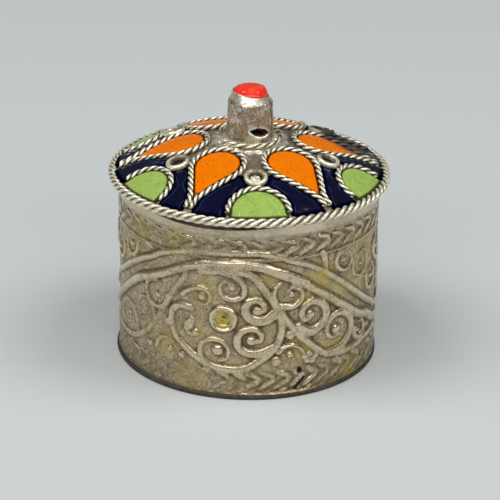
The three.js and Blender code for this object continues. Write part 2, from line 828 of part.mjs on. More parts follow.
for (let i = 0; i < bays; i += 1) {
  const number = i + 1;
  const petal = petals[i];
  const petalAngle = petalAngles[i];
  const ringAngle = ringAngles[i];
  const last = (i + bays - 1) % bays;
  addPiece(lidGroup, `petal_wire_${number}`, cellWire(petal.wirePath(), petalAngle), brightSilver());
  addPiece(lidGroup, `petal_enamel_${number}`, petalEnamel(layer, petal, petalAngle), orangeEnamel());
  addPiece(lidGroup, `arch_wire_${number}`, cellWire(archWirePath(), ringAngle), brightSilver());
  addPiece(lidGroup, `arch_enamel_${number}`, archEnamel(layer, ringAngle), greenEnamel());
  const before = fieldEnamel(layer, ringAngle, petals[last], petalAngles[last]);
  const after = fieldEnamel(layer, ringAngle, petal, petalAngle);
  addPiece(lidGroup, `field_enamel_${2 * number - 1}`, before, navyEnamel());
  addPiece(lidGroup, `field_enamel_${2 * number}`, after, navyEnamel());
  addRing(`lid_ring_${number}`, ringAngle);
}

export default box;
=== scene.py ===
"""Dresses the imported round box: chased silver body, enamelled dome of a lid, rope edge, coral finial.

Sizes in the classes are millimetres, and angles on the box are degrees from the front (-Y)
towards the right (+X). Meshes become metres where they are made. A mark is a value on the
points of a mesh, which its finish reads.
"""

import logging
import math
from collections.abc import Callable, Sequence
from dataclasses import dataclass, field
from enum import Enum
from functools import reduce

import bmesh
import bpy
import numpy as np
from mathutils import Matrix, Quaternion, Vector, geometry, noise
from numpy.typing import NDArray


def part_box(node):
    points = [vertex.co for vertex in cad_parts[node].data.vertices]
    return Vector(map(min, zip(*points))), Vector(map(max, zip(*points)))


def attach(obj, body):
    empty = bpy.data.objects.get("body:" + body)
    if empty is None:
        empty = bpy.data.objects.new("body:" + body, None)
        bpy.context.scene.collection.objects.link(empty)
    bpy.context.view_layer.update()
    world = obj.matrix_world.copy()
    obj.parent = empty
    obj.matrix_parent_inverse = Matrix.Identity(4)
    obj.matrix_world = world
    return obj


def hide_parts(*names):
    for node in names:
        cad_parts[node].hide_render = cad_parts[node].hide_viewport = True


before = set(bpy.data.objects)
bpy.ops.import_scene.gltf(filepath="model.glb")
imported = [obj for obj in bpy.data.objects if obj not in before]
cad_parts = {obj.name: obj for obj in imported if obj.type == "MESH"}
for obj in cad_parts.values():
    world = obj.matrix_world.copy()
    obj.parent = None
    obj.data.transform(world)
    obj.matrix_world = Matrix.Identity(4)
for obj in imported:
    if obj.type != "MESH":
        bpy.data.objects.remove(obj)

Array = NDArray[np.float64]
Colour = tuple[float, float, float]
Triple = tuple[float, float, float]
Place = tuple[float, float]
Shaper = Callable[[Array], Array]
Socket = bpy.types.NodeSocket
Marks = dict[str, Array]
Piece = bpy.types.Object

MM = 0.001
FULL_TURN = 2 * math.pi
BAYS = 6
ROUND, SQUARISH, FLAT_TOPPED = 2.0, 4.0, 8.0
THIN = 0.6
LOG = logging.getLogger("lidded_box")


class Body(Enum):
    """The two bodies of the frame that a piece can ride on."""

    BOX = "body"
    LID = "lid"


class Slot(Enum):
    """The record's material slots."""

    BODY = "silver_body"
    LID = "silver_lid"
    FINIAL = "silver_finial"
    WIRE = "silver_wire"
    ORANGE = "enamel_orange"
    GREEN = "enamel_green"
    NAVY = "enamel_navy"
    CORAL = "coral"


@dataclass(frozen=True)
class Extent:
    """What the builders read of a node of the frame: its reach from the axis, its foot and top."""

    radius: float
    foot: float
    top: float

    @classmethod
    def of(cls, node: str) -> "Extent":
        """Read the extent of a node."""
        low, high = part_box(node)
        return cls(high.x / MM, low.z / MM, high.z / MM)

    @property
    def middle(self) -> float:
        """Height of the node's middle."""
        return (self.foot + self.top) / 2


# Values at points


def share(values: Array) -> Array:
    """Keep values between 0 and 1."""
    return np.clip(values, 0.0, 1.0)


def ramp(values: Array, start: float, run: float) -> Array:
    """Rise from 0 at a start to 1 after a run; with a run below zero, fall to 0 at the start."""
    return share((values - start) / run)


def hump(off: Array, width: float) -> Array:
    """Fall off in a bell from 1 where the offset is zero."""
    return np.exp(-((off / width) ** 2))


def off_axis(points: Array) -> Array:
    """Distances of points from the box's axis."""
    return np.hypot(points[..., 0], points[..., 1])


def bearing(points: Array) -> Array:
    """Angles of points round the box, in degrees."""
    return np.degrees(np.arctan2(points[..., 0], -points[..., 1]))


def gap_to(points: Array, line: Array) -> Array:
    """Distance from each flat point to the nearest point of a line."""
    return np.array([off_axis(line - point).min() for point in points])


def unit(vectors: Array) -> Array:
    """Scale each vector to length one."""
    return vectors / np.linalg.norm(vectors, axis=-1, keepdims=True)


def upwards(points: Array) -> Array:
    """Give the direction straight up at each point."""
    return np.tile([0.0, 0.0, 1.0], (len(points), 1))


def rough(points: Array, size: float, seed: float = 0.0) -> Array:
    """Sample smooth noise at points.

    Args:
        points: Points, three numbers each.
        size: Distance over which the noise changes.
        seed: Moves the sample, so that two surfaces differ.

    Returns:
        One value from about -1 to 1 for each point.
    """
    shifted = points.reshape(-1, 3) / size + seed
    return np.array([noise.noise(Vector(p)) for p in shifted]).reshape(points.shape[:-1])


def blurred(grid: Array, passes: int) -> Array:
    """Soften a grid that closes on itself along its rows.

    Args:
        grid: Values, one row for each height.
        passes: How many times each value is shared with its neighbours.

    Returns:
        The softened grid.
    """
    for _ in range(passes):
        grid = (np.roll(grid, 1, axis=1) + 2 * grid + np.roll(grid, -1, axis=1)) / 4
        padded = np.pad(grid, ((1, 1), (0, 0)), mode="edge")
        grid = (padded[:-2] + 2 * grid + padded[2:]) / 4
    return grid


def scorched(points: Array) -> Array:
    """Say where the back right of the lid was scorched.

    Args:
        points: Points in millimetres.

    Returns:
        The share by which each point is blackened.
    """
    middle_x, middle_y, reach, fade = 16.0, 8.4, 8.2, 1.8
    away = np.hypot(points[..., 0] - middle_x, points[..., 1] - middle_y) + 0.9 * rough(points, 1.7, 4.0)
    return ramp(away, reach, -fade)


# Shared shapes


def evenly(line: Array, spacing: float) -> Array:
    """Spread points evenly along a line.

    Args:
        line: Points of the line, in order.
        spacing: Wanted distance between neighbours.

    Returns:
        The same line with even points, ends kept.
    """
    runs = np.concatenate([[0.0], np.cumsum(np.linalg.norm(np.diff(line, axis=0), axis=1))])
    count = max(2, int(round(runs[-1] / spacing)) + 1)
    at = np.linspace(0.0, runs[-1], count)
    return np.stack([np.interp(at, runs, axis) for axis in line.T], axis=1)


def smooth_line(places: Sequence[Place], spacing: float, scale: Place = (1.0, 1.0)) -> Array:
    """Run a smooth line through given points.

    Args:
        places: The points, in order.
        spacing: Distance between the points of the result.
        scale: Factors that turn the places into millimetres.

    Returns:
        Even points along the line.
    """
    knots = np.array(places) * np.array(scale)
    knots = np.vstack([2 * knots[0] - knots[1], knots, 2 * knots[-1] - knots[-2]])
    t = np.linspace(0.0, 1.0, 16, endpoint=False)[:, None]
    parts = []
    for a, b, c, d in zip(knots, knots[1:], knots[2:], knots[3:]):
        bend = (2 * a - 5 * b + 4 * c - d) * t**2 + (3 * b - a - 3 * c + d) * t**3
        parts.append((2 * b + (c - a) * t + bend) / 2)
    return evenly(np.vstack([*parts, knots[-2:-1]]), spacing)


def ring_faces(rings: int, sides: int, closed: bool) -> Array:
    """Join rings of points by quads that face outwards.

    Args:
        rings: Number of rings.
        sides: Points in each ring.
        closed: Whether the last ring joins the first.

    Returns:
        The quads, four point numbers each.
    """
    spans = rings if closed else rings - 1
    here = np.arange(spans)[:, None] * sides
    there = (np.arange(spans)[:, None] + 1) % rings * sides
    side = np.arange(sides)[None, :]
    after = (side + 1) % sides
    return np.stack([here + side, here + after, there + after, there + side], -1).reshape(-1, 4)


def around(radius: Array, height: Array, sides: int) -> Array:
    """Turn a profile about the box's axis.

    Args:
        radius: Radii of the profile's points.
        height: Heights of the profile's points.
        sides: Points in each ring.

    Returns:
        Rings of points, one for each point of the profile.
    """
    angle = np.arange(sides) * (FULL_TURN / sides)
    x = radius[:, None] * np.sin(angle)
    y = -radius[:, None] * np.cos(angle)
    return np.stack([x, y, np.broadcast_to(height[:, None], x.shape)], axis=-1)


def make_piece(
    name: str,
    points: Array,
    faces: Array,
    marks: Marks | None = None,
    sharp_over: float = 180.0,
    weld: bool = False,
) -> Piece:
    """Make a smooth-shaded mesh piece.

    Args:
        name: Name of the piece.
        points: Points in millimetres.
        faces: Point numbers of each face.
        marks: The marks, by name.
        sharp_over: Edges that bend by more degrees than this stay sharp.
        weld: Whether points at the same place are joined.

    Returns:
        The new object, linked to the scene.
    """
    mesh = bpy.data.meshes.new(name)
    mesh.from_pydata((points.reshape(-1, 3) * MM).tolist(), [], faces.tolist())
    for mark, values in (marks or {}).items():
        layer = mesh.attributes.new(mark, "FLOAT", "POINT")
        layer.data.foreach_set("value", np.asarray(values, dtype=np.float32).ravel())
    if weld:
        work = bmesh.new()
        work.from_mesh(mesh)
        bmesh.ops.remove_doubles(work, verts=work.verts, dist=MM * 0.001)
        work.to_mesh(mesh)
        work.free()
    mesh.validate()
    mesh.shade_smooth()
    if sharp_over < 180.0:
        mesh.set_sharp_from_angle(angle=math.radians(sharp_over))
    piece = bpy.data.objects.new(name, mesh)
    bpy.context.scene.collection.objects.link(piece)
    return piece


def dress(piece: Piece, body: Body, slot: Slot, finish: bpy.types.Material, *nodes: str) -> None:
    """Give a piece its finish and its place in the frame.

    Args:
        piece: The piece.
        body: The body that it rides on.
        slot: The record's slot for its finish; not used.
        finish: Its material.
        nodes: The nodes that it stands for.
    """
    piece.data.materials.clear()
    piece.data.materials.append(finish)
    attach(piece, body.value)
    if nodes:
        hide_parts(*nodes)
    LOG.info("%s: %d faces, for %s", piece.name, len(piece.data.polygons), ", ".join(nodes) or "detail")


# Finishes


class Painter:
    """Adds the nodes of one material and links them up."""

    def __init__(self, name: str) -> None:
        """Start a material with its shader alone.

        Args:
            name: Name of the material.
        """
        self.material = bpy.data.materials.new(name)
        self.material.use_nodes = True
        self.tree = self.material.node_tree
        self.shader = self.tree.nodes["Principled BSDF"]
        self.place = self.add("ShaderNodeTexCoord").outputs["Object"]

    def add(self, kind: str, inputs: dict[str, object] | None = None, **settings: object) -> bpy.types.Node:
        """Add a node.

        Args:
            kind: The node's type.
            inputs: Values or sockets for its inputs.
            settings: Values for its own settings.

        Returns:
            The node.
        """
        node = self.tree.nodes.new(kind)
        for name, value in settings.items():
            setattr(node, name, value)
        for name, value in (inputs or {}).items():
            self.feed(node.inputs[name], value)
        return node

    def feed(self, socket: Socket, value: object) -> None:
        """Set a socket, or link another socket to it.

        Args:
            socket: The socket.
            value: The other socket, a colour or a number.
        """
        if isinstance(value, bpy.types.NodeSocket):
            self.tree.links.new(value, socket)
        elif isinstance(value, tuple) and len(value) == 3 and socket.type == "RGBA":
            socket.default_value = (*value, 1.0)
        else:
            socket.default_value = value

    def set(self, **sockets: object) -> None:
        """Set or link the shader's sockets, named with _ for a space."""
        for name, value in sockets.items():
            self.feed(self.shader.inputs[name.replace("_", " ")], value)

    def mark(self, name: str) -> Socket:
        """Read a mark of the mesh."""
        return self.add("ShaderNodeAttribute", attribute_name=name).outputs["Fac"]

    def grain(self, size: float, detail: float = 3.0, stretch: Triple = (1.0, 1.0, 1.0)) -> Socket:
        """Noise that changes over a size in millimetres.

        Args:
            size: The size of its features.
            detail: How much finer detail it has.
            stretch: Factors along X, Y and Z.

        Returns:
            The socket of its value, about 0 to 1.
        """
        place = self.place
        if stretch != (1.0, 1.0, 1.0):
            place = self.add("ShaderNodeMapping", {"Vector": place, "Scale": stretch}).outputs[0]
        settings = {"Vector": place, "Scale": 1.0 / (size * MM), "Detail": detail}
        return self.add("ShaderNodeTexNoise", settings).outputs["Fac"]

    def cells(self, size: float) -> Socket:
        """Distance to scattered points about a size in millimetres apart."""
        settings = {"Vector": self.place, "Scale": 1.0 / (size * MM)}
        return self.add("ShaderNodeTexVoronoi", settings).outputs["Distance"]

    def spread(self, value: Socket, low: float, high: float, to: Place = (0.0, 1.0)) -> Socket:
        """Stretch a range of a value to another range, clamped and eased."""
        inputs = {"Value": value, "From Min": low, "From Max": high, "To Min": to[0], "To Max": to[1]}
        return self.add("ShaderNodeMapRange", inputs, interpolation_type="SMOOTHSTEP").outputs["Result"]

    def sway(self, value: Socket, reach: float, *, low: float = 0.3, high: float = 0.7) -> Socket:
        """Turn a noise into a value that sways both ways round zero by a reach."""
        return self.spread(value, low, high, (-reach, reach))

    def reckon(self, kind: str, first: object, second: object = 0.0) -> Socket:
        """Work out one value from two.

        Args:
            kind: Name of the operation.
            first: A socket or a number.
            second: Another, which some operations leave out.

        Returns:
            The socket of the result.
        """
        node = self.add("ShaderNodeMath", operation=kind)
        self.feed(node.inputs[0], first)
        self.feed(node.inputs[1], second)
        return node.outputs[0]

    def plus(self, first: object, second: object) -> Socket:
        """Add two values."""
        return self.reckon("ADD", first, second)

    def times(self, first: object, *others: object) -> Socket:
        """Multiply values."""
        return reduce(lambda one, other: self.reckon("MULTIPLY", one, other), others, first)

    def mix(self, part: object, first: object, second: object) -> Socket:
        """Mix two colours.

        Args:
            part: The share of the second colour.
            first: The first colour, or its socket.
            second: The second colour, or its socket.

        Returns:
            The socket of the mixed colour.
        """
        share_at, first_colour, second_colour, result = 0, 6, 7, 2
        node = self.add("ShaderNodeMix", data_type="RGBA")
        self.feed(node.inputs[share_at], part)
        self.feed(node.inputs[first_colour], first)
        self.feed(node.inputs[second_colour], second)
        return node.outputs[result]

    def coats(self, base: object, *coats: tuple[object, object]) -> Socket:
        """Lay colours over each other.

        Args:
            base: The lowest colour, or its socket.
            coats: The share and the colour of each coat, from the lowest up.

        Returns:
            The socket of the colour that shows.
        """
        for part, colour in coats:
            base = self.mix(part, base, colour)
        return base

    def bump(self, height: Socket, depth: float, below: Socket | None = None) -> Socket:
        """Bump the surface.

        Args:
            height: The height, 0 to 1.
            depth: What a height of 1 stands for, in millimetres.
            below: A bump that this one lies on.

        Returns:
            The socket of the bumped normal.
        """
        node = self.add("ShaderNodeBump", {"Height": height, "Distance": depth * MM})
        if below is not None:
            self.feed(node.inputs["Normal"], below)
        return node.outputs["Normal"]


@dataclass(frozen=True)
class AgedSilver:
    """Silver worn bright where it stands proud, with tarnish, dirt and painted shade lying in its hollows.

    The "relief" mark is 0 in a hollow and 1 on a ridge, and on some pieces it also holds painted
    light or painted shade. The mark of the dark hollows is 1 at the foot of a ridge, where it
    paints dirt together with painted shade; the black mark is 1 where the metal is black, for
    real black marks and for painted shade. The "gilt" mark is 1 where it was gilded. The "scorch"
    mark is 1 where fire has blackened it.
    """

    name: str
    bright: Colour
    dull: Colour
    tarnish: Colour
    tarnish_share: float
    metallic: float
    roughness: Place
    patch_size: float = 7.0
    mottle_size: float = 1.3
    mottle_share: float = 0.22
    scratch_size: float = 0.16
    grit_size: float = 0.34
    grit_share: float = 0.1
    speck_size: float = 0.5
    speck_share: float = 0.55
    speck_from: float = 0.61
    speck_edge: float = 0.08
    dot_size: float = 0.55
    dot_share: float = 0.12
    pit_depth: float = 0.012
    grit_depth: float = 0.0
    scratch_depth: float = 0.006
    scorch_share: float = 0.92
    # Colour of dirt and painted shade at the foot of ridges and in the grooves between strands.
    crevice_dirt_and_shade: Colour = (0.09, 0.065, 0.038)
    black: Colour = (0.018, 0.016, 0.015)
    gilt: Colour = (0.66, 0.5, 0.12)
    rust: Colour = (0.13, 0.07, 0.035)
    stretch: Triple = (1.0, 1.0, 1.0)

    def colour(self, paint: Painter, worn: Socket, mottle: Socket, scorch: Socket) -> Socket:
        """Lay tarnish, specks, dirt, gilding, black marks and scorching on the metal, with painted shade.

        Args:
            paint: The painter of the material.
            worn: How far the metal is worn bright.
            mottle: The noise that breaks up every coat.
            scorch: The "scorch" mark.

        Returns:
            The socket of the colour.
        """
        hollow = paint.spread(worn, 0.0, 0.85, (1.0, 0.25))
        patch = paint.plus(paint.grain(self.patch_size, 2.0), paint.times(mottle, 0.35))
        speck = paint.grain(self.speck_size, 2.0, self.stretch)
        speck = paint.spread(speck, self.speck_from, self.speck_from + self.speck_edge)
        dots = paint.spread(paint.cells(self.dot_size), 0.1, 0.36, (self.dot_share, 0.0))
        burnt = paint.mix(paint.spread(mottle, 0.3, 0.5), self.rust, self.black)
        return paint.coats(
            paint.mix(paint.spread(worn, 0.1, 0.95), self.dull, self.bright),
            (paint.times(paint.spread(patch, 0.56, 0.8), hollow, self.tarnish_share), self.tarnish),
            (paint.times(speck, hollow, self.speck_share), self.black),
            (paint.times(dots, hollow), self.black),
            # Dirt and painted shade at the foot of ridges and in the grooves between strands.
            (paint.times(paint.mark("crevice_dirt_and_shade"), paint.spread(mottle, 0.25, 0.6, (0.7, 1.0))), self.crevice_dirt_and_shade),
            (paint.mark("gilt"), self.gilt),
            # Black: real black marks, and painted shade where a piece sets the mark for it.
            (paint.mark("soot_and_shade"), self.black),
            (paint.times(scorch, self.scorch_share), burnt),
        )

    def material(self) -> bpy.types.Material:
        """Build the finish.

        Returns:
            The material.
        """
        paint = Painter(self.name)
        relief, scorch = paint.mark("relief"), paint.mark("scorch")
        mottle = paint.grain(self.mottle_size, 5.0)
        grit = paint.grain(self.grit_size, 4.0, self.stretch)
        fine = paint.grain(self.scratch_size, 3.0)
        worn = paint.plus(relief, paint.sway(mottle, self.mottle_share))
        worn = paint.plus(worn, paint.sway(grit, self.grit_share))
        polish = paint.spread(worn, 0.2, 0.9, self.roughness[::-1])
        polish = paint.plus(polish, paint.spread(paint.mark("gilt"), 0.6, 1.0, (0.0, -0.26)))
        polish = paint.plus(polish, paint.spread(scorch, 0.0, 1.0, (0.0, 0.3)))
        surface = paint.bump(mottle, self.pit_depth * 4)
        if self.grit_depth > 0.0:
            lying = paint.times(grit, paint.spread(relief, 0.3, 0.8, (1.0, 0.15)))
            surface = paint.bump(lying, self.grit_depth, surface)
        paint.set(
            Base_Color=self.colour(paint, worn, mottle, scorch),
            Metallic=self.metallic,
            Specular_IOR_Level=paint.spread(scorch, 0.0, 1.0, (0.5, 0.1)),
            Roughness=paint.plus(polish, paint.sway(fine, 0.05)),
            Normal=paint.bump(fine, self.scratch_depth, surface),
        )
        return paint.material


@dataclass(frozen=True)
class Enamel:
    """Opaque glass melted into a cell, with specks in it and painted shade along the wire.

    The "edge" mark is 1 at the cell's edge and 0 inside it, and sets painted shade along the wires
    and the rim; the "inset" mark is the distance from the wire in millimetres, and the "scorch"
    mark is 1 where fire has blackened the glass. A painted reflection runs as a pale line along
    the wires, broken here and there.
    """

    name: str
    colour: Colour
    cloud: Colour
    speck: Colour
    # Colour of the painted shade along the wires.
    edge: Colour
    speck_share: float
    roughness: float
    cloud_size: float = 2.6
    speck_size: float = 0.75
    ripple_size: float = 1.6
    ripple_depth: float = 0.03
    pin_hole_depth: float = 0.01
    shine: float = 0.5
    # A pale painted reflection along the wires.
    glint_line: Colour = (0.3, 0.34, 0.3)
    glint_line_share: float = 0.0
    glint_line_at: float = 0.85
    scorch: Colour = (0.04, 0.046, 0.052)
    scorch_share: float = 0.93

    def glass(self, paint: Painter, edge: Socket) -> Socket:
        """Lay clouds, specks, a painted reflection, painted shade by the wires and scorching on the glass.

        Args:
            paint: The painter of the material.
            edge: The "edge" mark.

        Returns:
            The socket of the colour.
        """
        specks = paint.spread(paint.cells(self.speck_size), 0.1, 0.26, (1.0, 0.0))
        scattered = paint.spread(paint.grain(1.9, 2.0), 0.42, 0.54)
        wander = paint.sway(paint.grain(3.2, 0.0), 0.35, low=0.2, high=0.8)
        off_line = paint.reckon("SUBTRACT", paint.plus(paint.mark("inset"), wander), self.glint_line_at)
        glint_line = paint.spread(paint.reckon("ABSOLUTE", off_line), 0.02, 0.09, (1.0, 0.0))
        broken = paint.spread(paint.grain(2.2, 1.0), 0.42, 0.6, (0.0, self.glint_line_share))
        return paint.coats(
            self.colour,
            (paint.spread(paint.grain(self.cloud_size, 3.0), 0.38, 0.68), self.cloud),
            (paint.times(specks, scattered, self.speck_share), self.speck),
            # Painted reflection: a pale line along the wires.
            (paint.times(glint_line, broken), self.glint_line),
            # Painted shade along the wires and the rim.
            (paint.spread(edge, 0.34, 0.8), self.edge),
            (paint.times(paint.mark("scorch"), self.scorch_share), self.scorch),
        )

    def material(self) -> bpy.types.Material:
        """Build the finish.

        Returns:
            The material.
        """
        paint = Painter(self.name)
        edge = paint.mark("edge")
        ripple = paint.bump(paint.grain(self.ripple_size, 2.0), self.ripple_depth)
        paint.set(
            Base_Color=self.glass(paint, edge),
            Roughness=self.roughness,
            Specular_IOR_Level=paint.spread(edge, 0.0, 0.5, (self.shine, 0.0)),
            Normal=paint.bump(paint.grain(0.3, 2.0), self.pin_hole_depth, ripple),
        )
        return paint.material


@dataclass(frozen=True)
class PolishedCoral:
    """Red coral, polished, with pale and dark growth streaks."""

    name: str = "polished_coral"
    colour: Colour = (0.84, 0.03, 0.018)
    pale: Colour = (0.9, 0.085, 0.04)
    deep: Colour = (0.55, 0.012, 0.01)
    roughness: float = 0.07
    stretch: Triple = (1.0, 1.0, 0.35)

    def material(self) -> bpy.types.Material:
        """Build the finish.

        Returns:
            The material.
        """
        paint = Painter(self.name)
        stone = paint.coats(
            self.colour,
            (paint.spread(paint.grain(1.1, 4.0, self.stretch), 0.35, 0.7), self.pale),
            (paint.spread(paint.grain(2.4, 2.0), 0.55, 0.75, (0.0, 0.6)), self.deep),
        )
        normal = paint.bump(paint.grain(0.9, 2.0), 0.015)
        paint.set(Base_Color=stone, Roughness=self.roughness, Normal=normal)
        return paint.material


@dataclass(frozen=True)
class DarkPacking:
    """Dark wax and resin that the coral is bedded in."""

    name: str = "dark_packing"
    colour: Colour = (0.035, 0.022, 0.014)
    dusty: Colour = (0.11, 0.085, 0.06)
    roughness: float = 0.85

    def material(self) -> bpy.types.Material:
        """Build the finish.

        Returns:
            The material.
        """
        paint = Painter(self.name)
        dust = paint.grain(0.7, 5.0)
        wax = paint.mix(paint.spread(dust, 0.4, 0.7), self.colour, self.dusty)
        paint.set(Base_Color=wax, Roughness=self.roughness, Normal=paint.bump(dust, 0.12))
        return paint.material


BODY_SILVER = AgedSilver(
    "chased_silver", (0.77, 0.65, 0.475), (0.33, 0.25, 0.138), (0.44, 0.34, 0.13), 0.5, 0.85, (0.15, 0.46),
    pit_depth=0.005, scratch_depth=0.004, grit_size=0.3, grit_share=0.2, grit_depth=0.04,
    patch_size=6.0, mottle_share=0.14, crevice_dirt_and_shade=(0.085, 0.056, 0.018), gilt=(0.56, 0.42, 0.1),
)
INNER_SILVER = AgedSilver(
    "plain_silver", (0.66, 0.6, 0.5), (0.3, 0.27, 0.22), (0.3, 0.24, 0.12), 0.5, 0.8, (0.38, 0.58)
)
PLATE_SILVER = AgedSilver(
    "plate_silver", (0.9, 0.86, 0.68), (0.2, 0.165, 0.14), (0.34, 0.27, 0.14), 0.4, 0.7, (0.3, 0.5),
    grit_size=0.4, grit_share=0.16, grit_depth=0.05,
)
WIRE_SILVER = AgedSilver(
    "wire_silver", (0.97, 0.92, 0.72), (0.22, 0.175, 0.11), (0.5, 0.4, 0.22), 0.3, 0.6, (0.3, 0.5),
    mottle_share=0.16, grit_size=0.22, grit_share=0.24, crevice_dirt_and_shade=(0.045, 0.033, 0.02),
)
FINIAL_SILVER = AgedSilver(
    "finial_silver", (0.9, 0.83, 0.69), (0.3, 0.245, 0.17), (0.5, 0.3, 0.14), 0.4, 0.7, (0.26, 0.42),
    patch_size=2.2, mottle_size=0.4, mottle_share=0.1, grit_size=0.24, grit_share=0.36, grit_depth=0.06,
    stretch=(1.0, 1.0, 0.7), speck_size=0.24, speck_share=0.95, speck_from=0.55, pit_depth=0.006,
    dot_size=0.42, dot_share=0.95, gilt=(0.5, 0.22, 0.08),
)
ORANGE = Enamel(
    "orange_enamel", (0.78, 0.18, 0.0), (0.77, 0.162, 0.0), (0.26, 0.03, 0.003), (0.02, 0.006, 0.002),
    0.8, 0.24, cloud_size=1.4, speck_size=0.6, shine=0.1,
)
GREEN = Enamel(
    "green_enamel", (0.33, 0.465, 0.1), (0.28, 0.41, 0.08), (0.04, 0.06, 0.015), (0.03, 0.035, 0.012),
    0.85, 0.26, cloud_size=1.2, speck_size=0.5, shine=0.35,
    glint_line=(0.6, 0.68, 0.36), glint_line_share=0.55, glint_line_at=1.5,
)
NAVY = Enamel(
    "navy_enamel", (0.0014, 0.002, 0.022), (0.0012, 0.0018, 0.01), (0.008, 0.011, 0.06),
    (0.001, 0.001, 0.004), 0.4, 0.12, pin_hole_depth=0.004, shine=0.4,
    glint_line=(0.04, 0.05, 0.13), glint_line_share=0.8, glint_line_at=0.8,
)


# The chased body


class Taper(Enum):
    """How the width of a chased line runs from its start to its end."""

    EVEN = "even"
    LEAF = "leaf"
    TAIL = "tail"

    def shares(self, along: Array) -> Array:
        """Work out shares of the full width.

        Args:
            along: Places along the line, 0 at its start and 1 at its end.

        Returns:
            The share of the full width at each place.
        """
        if self is Taper.LEAF:
            return 0.3 + 0.7 * np.sin(math.pi * share(along)) ** 0.7
        if self is Taper.TAIL:
            return 1.0 - 0.5 * along**1.5
        return np.ones_like(along)


@dataclass(frozen=True)
class Line:
    """A raised line of the chasing, through places in degrees and millimetres of height."""

    places: tuple[Place, ...]
    width: float = 0.8
    rise: float = 0.4
    taper: Taper = Taper.EVEN
    fullness: float = 4.0


@dataclass(frozen=True)
class Ball:
    """A raised ball of the chasing."""

    degrees: float
    height: float
    radius: float


@dataclass(frozen=True)
class Scroll:
    """A curl that rolls up round a ball."""

    ball: Ball
    line: Line


def curl(
    degrees: float, height: float, radius: float, width: float, *places: Place, rise: float = 0.4
) -> Scroll:
    """Shorten the writing of a scroll: its ball, the width of its line, and the line's places."""
    return Scroll(Ball(degrees, height, radius), Line(places, width, rise, Taper.TAIL, 2.6))


RIBBON_OUTER = Line((
    (-97.3, 8.4), (-92, 9.6), (-87, 11.0), (-82, 12.3), (-76.3, 13.6), (-70, 14.7), (-62, 16.4),
    (-52.8, 18.2), (-44.7, 19.5), (-40, 20.4), (-30, 21.5), (-20, 22.0), (-1.3, 22.3), (7, 22.2),
    (13.5, 21.7), (18.4, 21.0), (23.9, 20.4), (28.7, 19.7), (33.6, 18.8), (38.4, 17.7), (43.2, 16.5),
    (48.1, 15.3), (52.9, 14.0), (57.8, 12.8), (64.2, 11.3), (70, 10.2), (76.8, 8.9), (82.7, 8.4),
), 0.88, 0.44, fullness=1.8)
RIBBON_INNER = Line((
    (-97.3, 6.2), (-91, 6.9), (-85, 8.0), (-79, 9.3), (-73.4, 10.6), (-66, 12.4), (-59.7, 13.9),
    (-52.8, 15.4), (-45, 16.5), (-39, 17.4), (-33.2, 18.4), (-27.5, 19.3), (-19, 20.2), (-10, 20.5),
    (-4.8, 20.6), (0, 20.5), (5.6, 20.2), (10.5, 19.6), (15, 18.9), (18.4, 18.4), (23.2, 17.6),
    (28, 16.7), (32.9, 15.6), (37.7, 14.5), (42.6, 13.3), (47.4, 12.1), (52.2, 10.9), (56.4, 10.0),
    (61.3, 9.3), (65.9, 8.7), (71, 7.7), (76, 6.8), (82.7, 6.2),
), 1.14, 0.5, fullness=1.8)
RIBBON_CREST = Line((
    (-26, 19.75), (-18, 20.3), (-9, 20.75), (-1, 20.85), (9, 20.2), (18, 19.05), (27, 17.6),
), 0.42, 0.62, fullness=2.0)
MEDALLION = Line((
    (-20.4, 19.1), (-13.9, 19.4), (-9.6, 19.5), (-5.2, 19.6), (-0.9, 19.3), (2.6, 18.7), (5.7, 17.6),
    (8.3, 16.4), (11.3, 15.2), (12.8, 14.1), (14.2, 13.0), (15.2, 11.8), (15.5, 10.6), (14.6, 9.3),
    (12.6, 7.9), (9.1, 6.7), (5.2, 5.8), (1.3, 5.0), (-3, 4.65), (-7.4, 4.55), (-13.9, 4.75),
    (-18.3, 5.3), (-21.7, 5.9), (-24.8, 6.5), (-28.3, 7.4), (-31.3, 8.3), (-33.3, 9.4), (-34.2, 10.7),
    (-33.9, 12.0), (-31.8, 13.0), (-28.5, 13.4), (-24.6, 13.3),
), 1.0, 0.4, fullness=1.9)
STEMS = (
    Line((
        (12, 14.7), (14.2, 13.6), (17, 12.2), (21.1, 10.5), (24.6, 9.1), (28.7, 7.8), (32.9, 6.6),
        (37.7, 5.6), (42.9, 5.2), (49.8, 4.95), (58.4, 5), (64, 5.3), (73, 5.2), (82.7, 4.9),
    ), 0.95, 0.4, fullness=2.6),
    Line((
        (-27, 18.2), (-30.1, 16.7), (-32.9, 15.4), (-35.6, 13.9), (-38.4, 12.3), (-41.2, 10.7),
        (-43.9, 9.4), (-47.4, 8.0), (-51.5, 6.9), (-56.4, 5.9), (-63, 5.3), (-74, 5.2), (-86, 5.3),
        (-97.3, 4.9),
    ), 0.85, 0.28, fullness=2.2),
    Line(((3.5, 19.1), (6.8, 17.8), (9.5, 16.3), (11.8, 14.9)), 0.4, 0.42, Taper.LEAF),
    Line(((11.9, 14.8), (11.7, 16.0), (12.4, 17.0), (14.9, 17.7)), 0.6, taper=Taper.TAIL),
    Line(((34.3, 21.2), (35, 20.4), (36.2, 18.9)), 0.9, 0.36, Taper.TAIL),
    Line(((-50, 21.3), (-47.5, 20.9), (-44.5, 20.6)), 0.7, 0.28, Taper.LEAF),
    Line(((82.7, 10.4), (82.7, 14), (82.7, 19.9)), 1.3, taper=Taper.LEAF),
)
